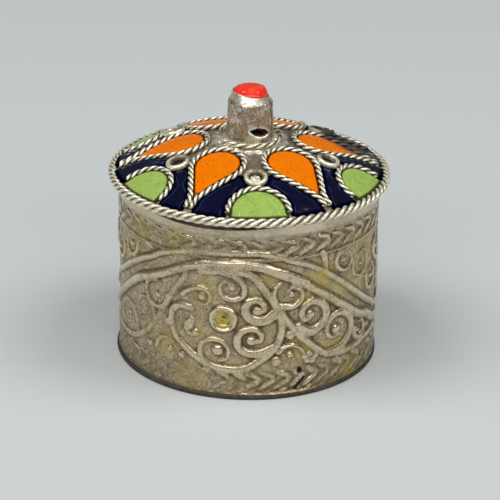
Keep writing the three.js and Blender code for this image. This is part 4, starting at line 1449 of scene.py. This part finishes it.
@dataclass
class LidShell:
    """The lid's silver: the domed plate with its edge band, the sleeve below and the rope edge."""

    dome: Dome
    ring_places: Array
    seat_radius: float = 3.7
    rope_radius: float = 4.5
    plate_thickness: float = 0.6
    plate_clearance: float = 0.05
    under_rings: int = 26
    top_rings: int = 100
    band_rings: int = 4
    sides: int = 300
    solder_rise: float = 0.5
    spill_rise: float = 0.3
    bar_rise: float = 0.35
    sleeve_thickness: float = 0.7
    sleeve_rounding: float = 0.12
    sleeve_rings: int = 9
    rim_rope: TwistedWire = TwistedWire(0.66, 30, 24, 3, 0.5, 0.52)
    rim_turns: float = 29.0
    rim_sides: int = 720
    rim_scorch: float = 0.35

    def __post_init__(self) -> None:
        """Read the sizes that the frame sets."""
        self.band_foot = Extent.of("lid_plate").foot
        self.sleeve = Extent.of("lid_collar")
        self.rim = Extent.of("lid_rim_rope")

    def vault(self, away: Array, sphere: float) -> Array:
        """Height of a sphere about the dome's centre, level inside the finial's seat."""
        return self.dome.centre[2] + np.sqrt(sphere**2 - np.maximum(away, self.seat_radius) ** 2)

    def plate_profile(self) -> tuple[Array, Array]:
        """Work out the plate's section, from its middle below round its edge band to its middle above.

        Returns:
            The radii and the heights.
        """
        dome, inner = self.dome, self.sleeve.radius + self.plate_clearance
        under = np.linspace(0.0, inner, self.under_rings)
        top = np.linspace(dome.rim_radius, 0.0, self.top_rings)
        under_level = self.vault(under, dome.sphere - self.plate_thickness)
        top_level = self.vault(top, dome.sphere)
        band = np.linspace(self.band_foot, top_level[0], self.band_rings + 1)[:-1]
        radius = np.concatenate([under, [inner], np.full_like(band, dome.rim_radius), top])
        return radius, np.concatenate([under_level, [self.band_foot], band, top_level])

    def solder(self, face: Array, lumps: Array) -> tuple[Array, Array, Array]:
        """Say where solder lies on the plate.

        Args:
            face: Points of the plate's upper face.
            lumps: Noise at them.

        Returns:
            Shares of the pool round the finial, the spill outside its rope and the bar in front.
        """
        away, degrees = off_axis(face), bearing(face)
        pool = hump(away - self.seat_radius, 0.55) * (0.75 + 0.6 * lumps)
        sides = hump(degrees + 68.0, 48.0) + 0.5 * hump(degrees - 118.0, 40.0)
        flow = sides * ramp(away, 5.5, -0.8) * (0.8 + 0.6 * rough(face, 0.5, 8.0))
        spill = hump(away - self.rope_radius - 0.75, 0.3) * share(lumps + 0.2)
        bar = hump(away - self.rope_radius - 1.0, 0.2) * ramp(np.abs(degrees - 5.0), 14.0, -3.0)
        return np.maximum(pool, flow), spill, bar

    def plate(self) -> Piece:
        """Build the domed plate with its edge band.

        Returns:
            The piece.
        """
        radius, level = self.plate_profile()
        points = around(radius, level, self.sides)
        relief, soot_and_shade = np.full(points.shape[:-1], 0.5), np.zeros(points.shape[:-1])
        face, away, lip = points[-self.top_rings:], off_axis(points[-self.top_rings:]), 6.6
        lumps = rough(face, 0.75, 2.0)
        pool, spill, bar = self.solder(face, lumps)
        rise = self.solder_rise * pool + self.spill_rise * spill + 0.1 * rough(face, 0.5, 6.0) * (away < lip)
        rise = np.where(away < self.seat_radius - 0.9, 0.0, rise) + self.bar_rise * bar
        face += self.dome.outward(face) * rise[..., None]
        nearest = np.min([off_axis(face[..., :2] - place) for place in self.ring_places[1:]], axis=0)
        shade = 0.08 + 0.42 * ramp(away, lip, -1.2) + 0.7 * pool + 0.5 * spill + 0.9 * bar
        # Painted light: inside the finial's seat the plate is painted bright, so what shows through the hole
        # looks lit.
        relief[-self.top_rings:] = np.where(away < 3.2, 0.9, share(shade + 0.4 * lumps))
        # Painted shade: the plate is darkened inside the plain rings that hold no granule.
        soot_and_shade[-self.top_rings:] = 0.75 * share(1.7 - nearest)
        faces = ring_faces(len(radius), self.sides, False)
        return make_piece("lid_dome", points, faces, {"relief": relief, "soot_and_shade": soot_and_shade}, 40.0, True)

    def sleeve_ring(self) -> Piece:
        """Build the sleeve that holds the lid in the box.

        Returns:
            The piece.
        """
        outer, inner = self.sleeve.radius, self.sleeve.radius - self.sleeve_thickness
        low, high, bend = self.sleeve.foot, self.sleeve.top, self.sleeve_rounding
        rows = np.linspace(low + bend, high - bend, self.sleeve_rings)
        radius = np.concatenate([
            [inner + bend, outer - bend], np.full_like(rows, outer),
            [outer - bend, inner + bend], np.full_like(rows, inner),
        ])
        level = np.concatenate([[low, low], rows, [high, high], rows[::-1]])
        points = around(radius, level, self.sides)
        points[..., :2] *= 1.0 + 0.0015 * rough(points, 4.0, 3.0)[..., None]
        # Painted shade: the sleeve's top is darkened, where the gap under the lid lies in shade.
        painted_shade = 0.85 * ramp(points[..., 2], high - 1.5, 0.5)
        marks = {"relief": 0.6 + 0.3 * rough(points, 1.2), "soot_and_shade": painted_shade}
        faces = ring_faces(len(radius), self.sides, True)
        return make_piece("lid_sleeve", points, faces, marks, 50.0)

    def rim_flood(self, points: Array) -> Array:
        """Lay solder on the rope's lower side, most of it at the front left."""
        most = hump(bearing(points) + 32.0, 34.0) + 0.45 * share(0.55 + 1.1 * rough(points, 3.5, 8.0))
        return ramp(points[..., 2], self.rim.middle + 0.12, -0.4) * share(most)

    def build(self) -> None:
        """Make and dress the shell's pieces."""
        dress(self.plate(), Body.LID, Slot.LID, PLATE_SILVER.material(), "lid_plate")
        dress(self.sleeve_ring(), Body.LID, Slot.LID, INNER_SILVER.material(), "lid_collar")
        rope = self.rim_rope.coil(
            "rim_rope", self.rim, self.rim_turns, self.rim_flood, self.rim_sides, self.rim_scorch
        )
        dress(rope, Body.LID, Slot.WIRE, WIRE_SILVER.material(), "lid_rim_rope")


@dataclass(frozen=True)
class Petal:
    """The line of a petal's wire: a round head, two straight sides, and tails run to the rim."""

    head_radius: float
    head_centre: float
    fork_at: float
    end_at: float
    tail_offset: float = 0.42
    fork_fillet: float = 0.6

    def line(self, spacing: float) -> Array:
        """Work out the wire's flat line.

        Args:
            spacing: Distance between its points.

        Returns:
            Points (along, across), from one end at the rim to the other.
        """
        reach = self.fork_at - self.head_centre
        lean = math.asin(self.head_radius / math.hypot(reach, self.tail_offset))
        lean -= math.atan(self.tail_offset / reach)
        start = math.pi / 2 - lean
        turn = np.linspace(start, math.pi, 40)
        head = np.stack([np.cos(turn), np.sin(turn)], axis=1) * self.head_radius + [self.head_centre, 0.0]
        side = np.array([-math.cos(lean), math.sin(lean)]) * self.fork_fillet
        fork = np.array([self.fork_at, self.tail_offset])
        t = np.linspace(0.0, 1.0, 8)[:, None]
        tail = fork + [self.fork_fillet, 0.0]
        bend = tail * (1 - t) ** 2 + fork * 2 * t * (1 - t) + (fork + side) * t**2
        half = np.vstack([[[self.end_at, self.tail_offset]], bend, head])
        return evenly(np.vstack([half, half[-2::-1] * [1.0, -1.0]]), spacing)


@dataclass
class Cloisonne:
    """The cells of the lid: wires, plain rings, and the enamel that fills each cell."""

    dome: Dome
    turn: float = 4.5
    petal_swing: tuple[float, ...] = (1.6, -1.0, 0.5, -0.3, -1.0, -1.2)
    petal_heads: tuple[float, ...] = (1.0, 0.93, 0.98, 1.0, 1.0, 0.98)
    petal_head_radius: float = 3.8
    petal_head_centre: float = 9.8
    fork_at: float = 17.0
    wire_end_at: float = 18.6
    arch_half_width: float = 4.3
    wire: TwistedWire = TwistedWire(0.41, 18, 16)
    wire_lay: float = 1.2
    wire_lift: float = 0.4
    line_step: float = 0.1
    arch_gap: float = 0.42
    ring_wall: float = 0.62
    ring_height: float = 0.85
    ring_sides: int = 48
    enamel_lift: float = 0.38
    plate_gap: float = 0.05
    tuck: float = 0.2
    rim_reach: float = 19.3
    edge_step: float = 0.22
    mesh_step: float = 0.42
    slump: float = 0.17
    slump_width: float = 0.5
    edge_width: float = 0.55
    wave: float = 0.05
    granule_radius: float = 0.86
    granule_height: float = 0.56
    granule_offset: Place = (-0.12, -0.25)

    def __post_init__(self) -> None:
        """Find the rings' places and size from the frame."""
        boxes = [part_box(f"lid_ring_{i + 1}") for i in range(BAYS)]
        self.ring_places = np.array([((low + high) / 2 / MM)[:2] for low, high in boxes])
        self.ring_degrees = bearing(self.ring_places)
        self.ring_at = float(off_axis(self.ring_places[0]))
        self.ring_radius = (boxes[0][1].x - boxes[0][0].x) / MM / 2

    def wire_piece(self, name: str, flat: Array, degrees: float) -> Piece:
        """Lay a twisted wire on the dome.

        Args:
            name: Name of the piece.
            flat: Its flat line.
            degrees: The angle of its cell.

        Returns:
            The piece.
        """
        line = self.dome.lay(Dome.turned(flat, degrees), self.wire_lift)
        length = np.linalg.norm(np.diff(line, axis=0), axis=1).sum()
        turns = round(length / self.wire_lay) / 2
        points, faces, relief = self.wire.sweep(line, self.dome.outward, turns, False)
        return make_piece(name, points, faces, self.wire.marks(points, relief), weld=True)

    def arch_line(self) -> Array:
        """Work out the flat line of an arch's wire.

        Returns:
            Points (along, across).
        """
        foot = math.sqrt(self.wire_end_at**2 - self.arch_half_width**2)
        depth = foot - (self.ring_at + self.ring_radius + self.arch_gap)
        turn = np.linspace(math.pi / 2, 3 * math.pi / 2, 60)
        line = np.stack([foot + depth * np.cos(turn), self.arch_half_width * np.sin(turn)], axis=1)
        return evenly(line, self.line_step)

    def cell_outline(self, node: str) -> Array:
        """Read the outline of an enamel's upper face from its node.

        Args:
            node: The node.

        Returns:
            Flat points of the outline, in order, counter-clockwise.
        """
        work = bmesh.new()
        work.from_mesh(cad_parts[node].data)
        bmesh.ops.remove_doubles(work, verts=work.verts, dist=MM * 0.002)
        middle = self.dome.sphere + (self.enamel_lift + self.plate_gap) / 2
        centre = Vector(self.dome.centre)
        upper = {v for v in work.verts if (v.co / MM - centre).length > middle}
        top = [face for face in work.faces if upper.issuperset(face.verts)]
        after = {
            loop.vert: loop.link_loop_next.vert
            for face in top for loop in face.loops
            if not any(upper.issuperset(other.verts) for other in loop.edge.link_faces if other is not face)
        }
        vert = first = next(iter(after))
        outline = [first.co[:2]]
        while after[vert] is not first:
            vert = after[vert]
            outline.append(vert.co[:2])
        outline = np.array(outline) / MM
        work.free()
        return outline

    def filled(self, edge: Array, outwards: Array, border: Array) -> tuple[Array, Array]:
        """Fill a cell with nearly even triangles.

        Args:
            edge: The cell's outline.
            outwards: Directions out of the cell at its points.
            border: The outline of the enamel, which goes a little under the wires.

        Returns:
            Flat points, and triangles that turn counter-clockwise.
        """
        step, count = self.mesh_step, len(border)
        low, high = border.min(axis=0), border.max(axis=0)
        grid = np.array([
            (x + (step / 2 if i % 2 else 0.0), y)
            for i, y in enumerate(np.arange(low[1], high[1], step * 0.87))
            for x in np.arange(low[0], high[0], step)
        ])
        inner = self.tuck + 0.2
        rows = (
            (edge - 0.02 * outwards, self.tuck * 0.9), (edge - 0.22 * outwards, inner * 0.95),
            (grid, inner + step * 0.6),
        )
        kept = [spots[gap_to(spots, border) >= least] for spots, least in rows]
        places = [Vector(place) for place in np.vstack([border, *kept])]
        rim = [(i, (i + 1) % count) for i in range(count)]
        flat, _, faces, *_ = geometry.delaunay_2d_cdt(places, rim, [], 1, 1e-5)
        triangles = np.array([face for face in faces if len(face) == 3])
        used, renumbered = np.unique(triangles, return_inverse=True)
        flat, triangles = np.array([tuple(place) for place in flat])[used], renumbered.reshape(-1, 3)
        corners = flat[triangles]
        first, second = corners[:, 1] - corners[:, 0], corners[:, 2] - corners[:, 0]
        clockwise = first[:, 0] * second[:, 1] - first[:, 1] * second[:, 0] < 0
        triangles[clockwise] = triangles[clockwise][:, ::-1]
        return flat, triangles

    @staticmethod
    def closed(triangles: Array, count: int) -> Array:
        """Close a sheet by a copy of it below and a skirt between the two.

        Args:
            triangles: The sheet's triangles.
            count: Its points; the copy's points follow on them.

        Returns:
            The triangles of the closed piece.
        """
        sides = {tuple(pair) for face in triangles for pair in zip(face, np.roll(face, -1))}
        rims = [(a, b) for a, b in sides if (b, a) not in sides]
        skirt = [(a, a + count, b + count) for a, b in rims] + [(a, b + count, b) for a, b in rims]
        return np.vstack([triangles, triangles[:, ::-1] + count, np.array(skirt)])

    def enamel_piece(self, name: str, node: str, seed: float) -> Piece:
        """Fill a cell with enamel that sinks a little towards its wires.

        Args:
            name: Name of the piece.
            node: The node that it stands for.
            seed: Makes its surface differ from the other cells'.

        Returns:
            The piece.
        """
        dome, outline = self.dome, self.cell_outline(node)
        edge = evenly(np.vstack([outline, outline[:1]]), self.edge_step)[:-1]
        along = unit(np.roll(edge, -1, axis=0) - np.roll(edge, 1, axis=0))
        outwards = np.stack([along[:, 1], -along[:, 0]], axis=1)
        border = edge + self.tuck * outwards
        at_rim = off_axis(border) > dome.rim_radius - 0.1
        border[at_rim] *= (self.rim_reach / off_axis(border[at_rim]))[:, None]
        flat, triangles = self.filled(edge, outwards, border)
        inset = gap_to(flat, border[~at_rim])
        sink = self.slump * (1.0 - share(inset / self.slump_width)) ** 2
        spots = np.concatenate([flat, np.full((len(flat), 1), seed)], axis=1)
        lift = self.enamel_lift - sink + self.wave * rough(spots, 2.6) + 0.02 * rough(spots, 0.9, 4.0)
        points = np.vstack([dome.lay(flat, lift), dome.lay(flat, self.plate_gap / 2)])
        # Painted shade: the glass is darkened by its wires and by the rim under the rope.
        painted_wire_shade = 1.0 - ramp(gap_to(flat, border), self.tuck, self.edge_width)
        painted_wire_shade = np.maximum(painted_wire_shade, ramp(off_axis(flat), dome.rim_radius - 0.42, 0.7))
        marks = {
            "edge": np.concatenate([painted_wire_shade, np.ones_like(painted_wire_shade)]), "inset": np.tile(inset, 2),
            "scorch": scorched(points),
        }
        return make_piece(name, points, self.closed(triangles, len(flat)), marks, 70.0)

    def ring_piece(self, name: str, place: Array, seed: float) -> Piece:
        """Stand a plain, rounded ring on the dome.

        Args:
            name: Name of the piece.
            place: Where its middle is, seen from above.
            seed: Makes its surface differ from the other rings'.

        Returns:
            The piece.
        """
        turn = np.linspace(0.0, FULL_TURN, 16, endpoint=False)
        middle = self.ring_radius - self.ring_wall / 2
        full_x, full_z = (np.sign(wave) * np.abs(wave) ** 0.75 for wave in (np.cos(turn), np.sin(turn)))
        radius, level = middle + self.ring_wall * 0.52 * full_x, self.ring_height / 2 * (1.0 + full_z)
        points = around(radius, level, self.ring_sides)
        points *= 1.0 + 0.025 * rough(points, 1.3, seed)[..., None]
        foot = self.dome.lay(place, self.plate_gap)
        points = self.dome.stand(points, foot)
        # Painted shade: the inner face of the ring is darkened.
        inside = off_axis(points - foot) < middle - 0.1
        marks = {"relief": 1.0 + 0.4 * rough(points, 0.6) - 0.7 * inside, "scorch": scorched(points)}
        return make_piece(name, points, ring_faces(len(turn), self.ring_sides, True), marks)

    def granule(self, place: Array) -> Piece:
        """Lay a lumpy, shining granule of solder in a ring.

        Args:
            place: Where the ring's middle is, seen from above.

        Returns:
            The piece.
        """
        rings, sides = 24, 40
        turn = np.linspace(-math.pi / 2, math.pi / 2, rings)
        points = around(self.granule_radius * np.cos(turn), self.granule_height * (np.sin(turn) + 0.4), sides)
        points *= 1.0 + 0.3 * rough(points, 0.5, 3.0)[..., None]
        points = self.dome.stand(points, self.dome.lay(place + self.granule_offset, self.plate_gap))
        marks = {"relief": 0.62 + 0.7 * rough(points, 0.4)}
        return make_piece("ring_granule", points, ring_faces(rings, sides, False), marks, weld=True)

    def build(self) -> None:
        """Make and dress every cell, bay by bay."""
        wire, orange, green, navy = (finish.material() for finish in (WIRE_SILVER, ORANGE, GREEN, NAVY))
        for i, place in enumerate(self.ring_places):
            number, bay = i + 1, 360.0 / BAYS
            head = self.petal_head_radius * self.petal_heads[i]
            petal = Petal(head, self.petal_head_centre, self.fork_at, self.wire_end_at)
            degrees = self.turn + bay * (i + 0.5) + self.petal_swing[i]
            piece = self.wire_piece(f"petal_twist_{number}", petal.line(self.line_step), degrees)
            dress(piece, Body.LID, Slot.WIRE, wire, f"petal_wire_{number}")
            piece = self.wire_piece(f"arch_twist_{number}", self.arch_line(), self.ring_degrees[i])
            dress(piece, Body.LID, Slot.WIRE, wire, f"arch_wire_{number}")
            cells = (
                ("petal", number, Slot.ORANGE, orange, 10.0 * i),
                ("arch", number, Slot.GREEN, green, 10.0 * i + 3),
                *(("field", side, Slot.NAVY, navy, 7.0 * side) for side in (2 * number - 1, 2 * number)),
            )
            for kind, cell, slot, finish, seed in cells:
                node = f"{kind}_enamel_{cell}"
                dress(self.enamel_piece(f"{kind}_glass_{cell}", node, seed), Body.LID, slot, finish, node)
            ring = self.ring_piece(f"plain_ring_{number}", place, 2.0 * i)
            dress(ring, Body.LID, Slot.WIRE, wire, f"lid_ring_{number}")
        dress(self.granule(self.ring_places[0]), Body.LID, Slot.WIRE, wire)


CORAL_PROFILE = (
    (0.90, 0.0), (0.94, 0.15), (0.975, 0.3), (0.998, 0.44), (1.0, 0.52), (0.975, 0.6), (0.93, 0.685),
    (0.885, 0.765), (0.83, 0.835), (0.74, 0.895), (0.6, 0.945), (0.42, 0.975), (0.2, 0.994), (0.0, 1.0),
)


@dataclass
class Finial:
    """The tube on top of the lid, its foot rope, and the coral that it holds."""

    flare: float = 0.25
    wall: float = 0.45
    lip_height: float = 1.15
    lip_width: float = 0.16
    lip_inset: float = 0.28
    lip_slant: float = 1.0
    hole_width: float = 3.1
    hole_height: float = 1.2
    hole_centre: float = 1.9
    hole_degrees: float = 25.0
    hole_tilt: float = -10.0
    seam_degrees: float = 68.0
    seam_width: float = 0.12
    seam_depth: float = 0.1
    pit_depth: float = 0.08
    burr_rise: float = 0.07
    bead_rise: float = 0.2
    stem_rings: int = 56
    lip_rings: int = 8
    bore_rings: int = 14
    sides: int = 200
    stone_sides: int = 96
    stone_squareness: float = 2.6
    stone_corner: float = 1.46
    stone_sink: float = 0.36
    foot_rope: TwistedWire = TwistedWire(0.36, 20, 16, groove_dirt_and_shade_reach=1.6)
    rope_turns: float = 9.0
    rope_sides: int = 360

    def __post_init__(self) -> None:
        """Read the sizes that the frame sets."""
        tube = Extent.of("finial_tube")
        self.foot, self.foot_radius = tube.foot, tube.radius
        self.radius = self.foot_radius - self.flare
        self.bore = self.radius - self.wall
        self.lip = tube.top - self.lip_slant / 2
        self.shoulder = self.lip - self.lip_height
        self.rope = Extent.of("finial_rope")

    def hole_cutter(self) -> Piece:
        """Make the almond-shaped block that the hole is cut with, as an unfinished object.

        Returns:
            The cutter.
        """
        across = np.cos(np.linspace(0.0, math.pi, 20))
        half = np.stack([across * self.hole_width / 2, (1.0 - across**2) * self.hole_height / 2], 1)
        lean = math.radians(self.hole_tilt)
        tilt = np.array([[math.cos(lean), math.sin(lean)], [-math.sin(lean), math.cos(lean)]])
        outline = np.vstack([half, -half[1:-1]]) @ tilt
        count = len(outline)
        points = np.vstack([
            np.column_stack([outline[:, 0], np.full(count, -reach), outline[:, 1]])
            for reach in (1.5, self.foot_radius + 1.5)
        ])
        angle = math.radians(self.hole_degrees)
        cos, sin = math.cos(angle), math.sin(angle)
        turn = np.array([[cos, -sin, 0.0], [sin, cos, 0.0], [0.0, 0.0, 1.0]])
        points = points @ turn.T + [0.0, 0.0, self.foot + self.hole_centre]
        mesh = bpy.data.meshes.new("hole_cutter")
        walls = ring_faces(2, count, False).tolist()
        caps = [list(range(count))[::-1], list(range(count, 2 * count))]
        mesh.from_pydata((points * MM).tolist(), [], walls + caps)
        work = bmesh.new()
        work.from_mesh(mesh)
        bmesh.ops.recalc_face_normals(work, faces=work.faces)
        work.to_mesh(mesh)
        work.free()
        cutter = bpy.data.objects.new("hole_cutter", mesh)
        bpy.context.scene.collection.objects.link(cutter)
        return cutter

    def cut_hole(self, piece: Piece) -> None:
        """Cut the almond hole.

        Args:
            piece: The tube.
        """
        cutter = self.hole_cutter()
        cut = piece.modifiers.new("hole", "BOOLEAN")
        cut.operation, cut.solver, cut.object = "DIFFERENCE", "EXACT", cutter
        bpy.context.view_layer.update()
        shown = piece.evaluated_get(bpy.context.evaluated_depsgraph_get())
        mesh = bpy.data.meshes.new_from_object(shown)
        piece.modifiers.clear()
        piece.data = mesh
        bpy.data.objects.remove(cutter)
        mesh.set_sharp_from_angle(angle=math.radians(45.0))

    def tube_profile(self) -> tuple[Array, Array]:
        """Work out the tube's section: up its skin, over its lip and down its bore.

        Returns:
            The radii and the heights.
        """
        lip_radius = self.bore - self.lip_inset
        up = np.linspace(0.0, 1.0, self.stem_rings)
        slope = np.linspace(0.0, 1.0, self.lip_rings + 1)[1:]
        turn = np.linspace(0.0, math.pi, 6)[1:]
        radius = np.concatenate([
            self.foot_radius - self.flare * up,
            self.radius - (self.radius - lip_radius - self.lip_width) * slope**1.08,
            lip_radius + self.lip_width * (0.5 + 0.5 * np.cos(turn)),
            np.full(self.bore_rings, self.bore),
        ])
        level = np.concatenate([
            np.linspace(self.foot, self.shoulder, self.stem_rings), self.shoulder + self.lip_height * slope,
            self.lip + 0.12 * np.sin(turn), np.linspace(self.shoulder, self.foot, self.bore_rings),
        ])
        return radius, level

    def along_skin(self, points: Array, degrees: float) -> Array:
        """Measure the arc along the tube's skin from an angle to each point."""
        return (bearing(points) - degrees) * math.radians(1.0) * self.foot_radius

    def from_hole(self, points: Array) -> tuple[Array, Array]:
        """Measure from the middle of the hole.

        Args:
            points: Points on the tube.

        Returns:
            How far they are along the hole, and how far above its length.
        """
        lean = math.radians(self.hole_tilt)
        beside = self.along_skin(points, self.hole_degrees)
        above = points[..., 2] - self.foot - self.hole_centre
        along = beside * math.cos(lean) + above * math.sin(lean)
        return along, above * math.cos(lean) - beside * math.sin(lean)

    def tube(self) -> Piece:
        """Build the pitted tube with its burnished, slanting lip, its seam and its almond hole.

        Returns:
            The piece.
        """
        radius, level = self.tube_profile()
        points = around(radius, level, self.sides)
        rise = ramp(points[..., 2], self.shoulder, self.lip_height)
        points[..., 2] -= rise * self.lip_slant / 2 * points[..., 0] / self.radius
        skin = (np.arange(len(radius)) < self.stem_rings + self.lip_rings)[:, None]
        pits = share(rough(points, 0.45, 1.0) - 0.2) + 0.5 * share(rough(points, 0.9, 5.0) - 0.25)
        seam_off = self.along_skin(points, self.seam_degrees) + 0.12 * rough(points, 1.5, 9.0)
        seam = hump(seam_off, self.seam_width) * (1.0 - rise)
        sunk = self.pit_depth * pits * (1.0 - rise) + self.seam_depth * seam
        swell = (0.035 * rough(points, 1.8, 2.0) + 0.02 * rough(points, 0.6, 8.0)) * (1.0 - 0.6 * rise)
        hole_x, hole_z = self.from_hole(points)
        half_width, half_height = self.hole_width / 2 + 0.1, self.hole_height / 2 + 0.12
        off_hole = (hole_x / half_width) ** 2 + np.abs(hole_z) / half_height
        burr = hump(off_hole - 1.05, 0.22) * skin
        bead = hump(off_hole - 1.2, 0.4) * share(-hole_z / 0.4) * skin
        change = (swell - sunk * (1.0 - bead) + self.burr_rise * burr + self.bead_rise * bead) * skin
        points[..., :2] *= (1.0 + change / off_axis(points))[..., None]
        relief = 0.4 + 1.2 * rise - 0.9 * pits - 0.8 * seam + 0.7 * burr + 0.5 * bead
        relief = relief + 0.3 * rough(points, 1.3, 3.0)
        stain = 0.5 * hump(np.hypot(hole_x - 0.2, hole_z - 1.3), math.sqrt(2.0))
        stain = stain * (0.7 + rough(points, 0.6, 4.0))
        marks = {
            # Painted light: the bore is painted bright so that what shows through the hole looks lit; the
            # lip's round top shares the value.
            "relief": np.clip(np.where(skin, relief, 0.9), 0.0, 1.5),
            "soot_and_shade": np.clip(0.5 * pits + 0.8 * seam, 0.0, 0.8) * skin,
            "gilt": np.clip(stain * skin, 0.0, 0.5),
        }
        piece = make_piece("finial_stem", points, ring_faces(len(radius), self.sides, True), marks)
        self.cut_hole(piece)
        return piece

    def foot_flood(self, points: Array) -> Array:
        """Lay solder on the foot rope's lower side, and on nearly all of its left part."""
        below = ramp(points[..., 2], self.rope.middle - 0.05, -0.3)
        return share(0.8 * hump(bearing(points) + 62.0, 30.0) + 0.6 * below)

    def coral(self) -> Piece:
        """Build the coral: a cushion with full sides, clipped corners and a gently domed top.

        Returns:
            The piece.
        """
        low, high = (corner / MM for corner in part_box("coral_cabochon"))
        half = (high - low) / 2
        curve = smooth_line(CORAL_PROFILE, 0.03)
        width, level = share(curve[:, :1]), curve[:, 1:]
        width[-1] = 0.0
        turn = np.arange(self.stone_sides) * (FULL_TURN / self.stone_sides)
        cos, sin, power = np.abs(np.cos(turn)), np.abs(np.sin(turn)), self.stone_squareness
        reach = np.minimum((cos**power + sin**power) ** (-1 / power), self.stone_corner / (cos + sin))
        x = half.x * width * reach * np.cos(turn)
        y = half.y * width * reach * np.sin(turn)
        z = np.broadcast_to(low.z + (high.z - self.stone_sink - low.z) * level, x.shape)
        points = np.stack([x, y, z], axis=-1)
        points[..., :2] *= 1.0 + 0.012 * rough(points, 1.6, 4.0)[..., None]
        base = np.zeros((1, self.stone_sides, 3)) + [0.0, 0.0, low.z]
        points = np.vstack([base, points])
        return make_piece("coral_stone", points, ring_faces(len(points), self.stone_sides, False), weld=True)

    def build(self) -> None:
        """Make and dress the finial's pieces; the packing keeps its solid."""
        dress(self.tube(), Body.LID, Slot.FINIAL, FINIAL_SILVER.material(), "finial_tube")
        rope = self.foot_rope.coil("foot_rope", self.rope, self.rope_turns, self.foot_flood, self.rope_sides)
        dress(rope, Body.LID, Slot.WIRE, WIRE_SILVER.material(), "finial_rope")
        dress(self.coral(), Body.LID, Slot.CORAL, PolishedCoral().material(), "coral_cabochon")
        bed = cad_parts["stone_bed"]
        bed.data.materials.clear()
        bed.data.materials.append(DarkPacking().material())
        LOG.info("stone_bed: kept, in dark packing")


# The studio


@dataclass(frozen=True)
class SoftBox:
    """A large soft lamp, aimed at the box."""

    name: str
    place: Triple
    width: float
    height: float
    power: float
    colour: Colour = (1.0, 1.0, 1.0)

    def hang(self, target: Vector) -> None:
        """Hang the lamp.

        Args:
            target: What it is aimed at, in metres.
        """
        lamp = bpy.data.lights.new(self.name, "AREA")
        lamp.shape = "RECTANGLE"
        lamp.size, lamp.size_y = self.width, self.height
        lamp.energy = self.power
        lamp.color = self.colour
        holder = bpy.data.objects.new(self.name, lamp)
        holder.location = self.place
        holder.rotation_euler = (target - Vector(self.place)).to_track_quat("-Z", "Y").to_euler()
        bpy.context.scene.collection.objects.link(holder)


@dataclass
class Studio:
    """The pale floor, the soft lamps, the world and the camera. Its sizes are metres."""

    floor_size: float = 6.0
    paper_share: float = 0.12
    floor_colour: Colour = (0.56, 0.593, 0.59)
    world_colour: Colour = (0.72, 0.76, 0.78)
    world_strength: float = 0.13
    lamps: tuple[SoftBox, ...] = (
        SoftBox("left_box", (-0.4, -0.11, 0.72), 0.42, 0.5, 3.4),
        SoftBox("right_box", (0.42, -0.08, 0.72), 0.42, 0.5, 3.2),
        SoftBox("front_box", (0.0, -1.02, 0.68), 2.4, 0.34, 8.9),
    )
    camera_place: Triple = (0.0, -0.3139, 0.1498)
    camera_target: Triple = (0.0, 0.0, 0.014)
    camera_roll: float = 1.06
    lens: float = 169.02
    sensor: float = 36.0
    shift: Place = (0.0048, 0.0108)

    def lay_floor(self) -> None:
        """Lay the floor."""
        half = self.floor_size / 2
        mesh = bpy.data.meshes.new("pale_floor")
        corners = [(-half, -half, 0.0), (half, -half, 0.0), (half, half, 0.0), (-half, half, 0.0)]
        mesh.from_pydata(corners, [], [(0, 1, 2, 3)])
        floor = bpy.data.objects.new("pale_floor", mesh)
        bpy.context.scene.collection.objects.link(floor)
        paint = Painter("pale_floor")
        paper = paint.spread(paint.grain(3.0, 3.0), 0.3, 0.7, (0.0, self.paper_share))
        duller = tuple(0.94 * c for c in self.floor_colour)
        colour = paint.mix(paper, self.floor_colour, duller)
        paint.set(Base_Color=colour, Roughness=0.95, Specular_IOR_Level=0.1)
        mesh.materials.append(paint.material)

    def light(self) -> None:
        """Light the box from both sides, from above and a little from the front."""
        for lamp in self.lamps:
            lamp.hang(Vector(self.camera_target))
        world = bpy.data.worlds.new("pale_room")
        world.use_nodes = True
        background = world.node_tree.nodes["Background"]
        background.inputs["Color"].default_value = (*self.world_colour, 1.0)
        background.inputs["Strength"].default_value = self.world_strength
        bpy.context.scene.world = world
        bpy.context.scene.view_settings.view_transform = "Standard"

    def set_camera(self) -> None:
        """Set the camera where the photograph was taken from."""
        camera = bpy.data.cameras.new("camera")
        camera.lens, camera.sensor_width = self.lens, self.sensor
        camera.shift_x, camera.shift_y = self.shift
        camera.clip_start = 0.01
        holder = bpy.data.objects.new("camera", camera)
        place = Vector(self.camera_place)
        aim = (Vector(self.camera_target) - place).to_track_quat("-Z", "Y")
        roll = Quaternion((0.0, 0.0, 1.0), math.radians(self.camera_roll))
        holder.matrix_world = Matrix.Translation(place) @ (aim @ roll).to_matrix().to_4x4()
        bpy.context.scene.collection.objects.link(holder)
        bpy.context.scene.camera = holder

    def build(self) -> None:
        """Set the whole studio."""
        self.lay_floor()
        self.light()
        self.set_camera()
        LOG.info("studio: floor, %d lamps and camera", len(self.lamps))


def main() -> None:
    """Build every sub-assembly in order, then the studio."""
    logging.basicConfig(level=logging.INFO, format="%(message)s")
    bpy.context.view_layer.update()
    dome = Dome.from_frame()
    ChasedBody().build()
    cells = Cloisonne(dome)
    LidShell(dome, cells.ring_places).build()
    cells.build()
    Finial().build()
    Studio().build()


if __name__ == "__main__":
    main()
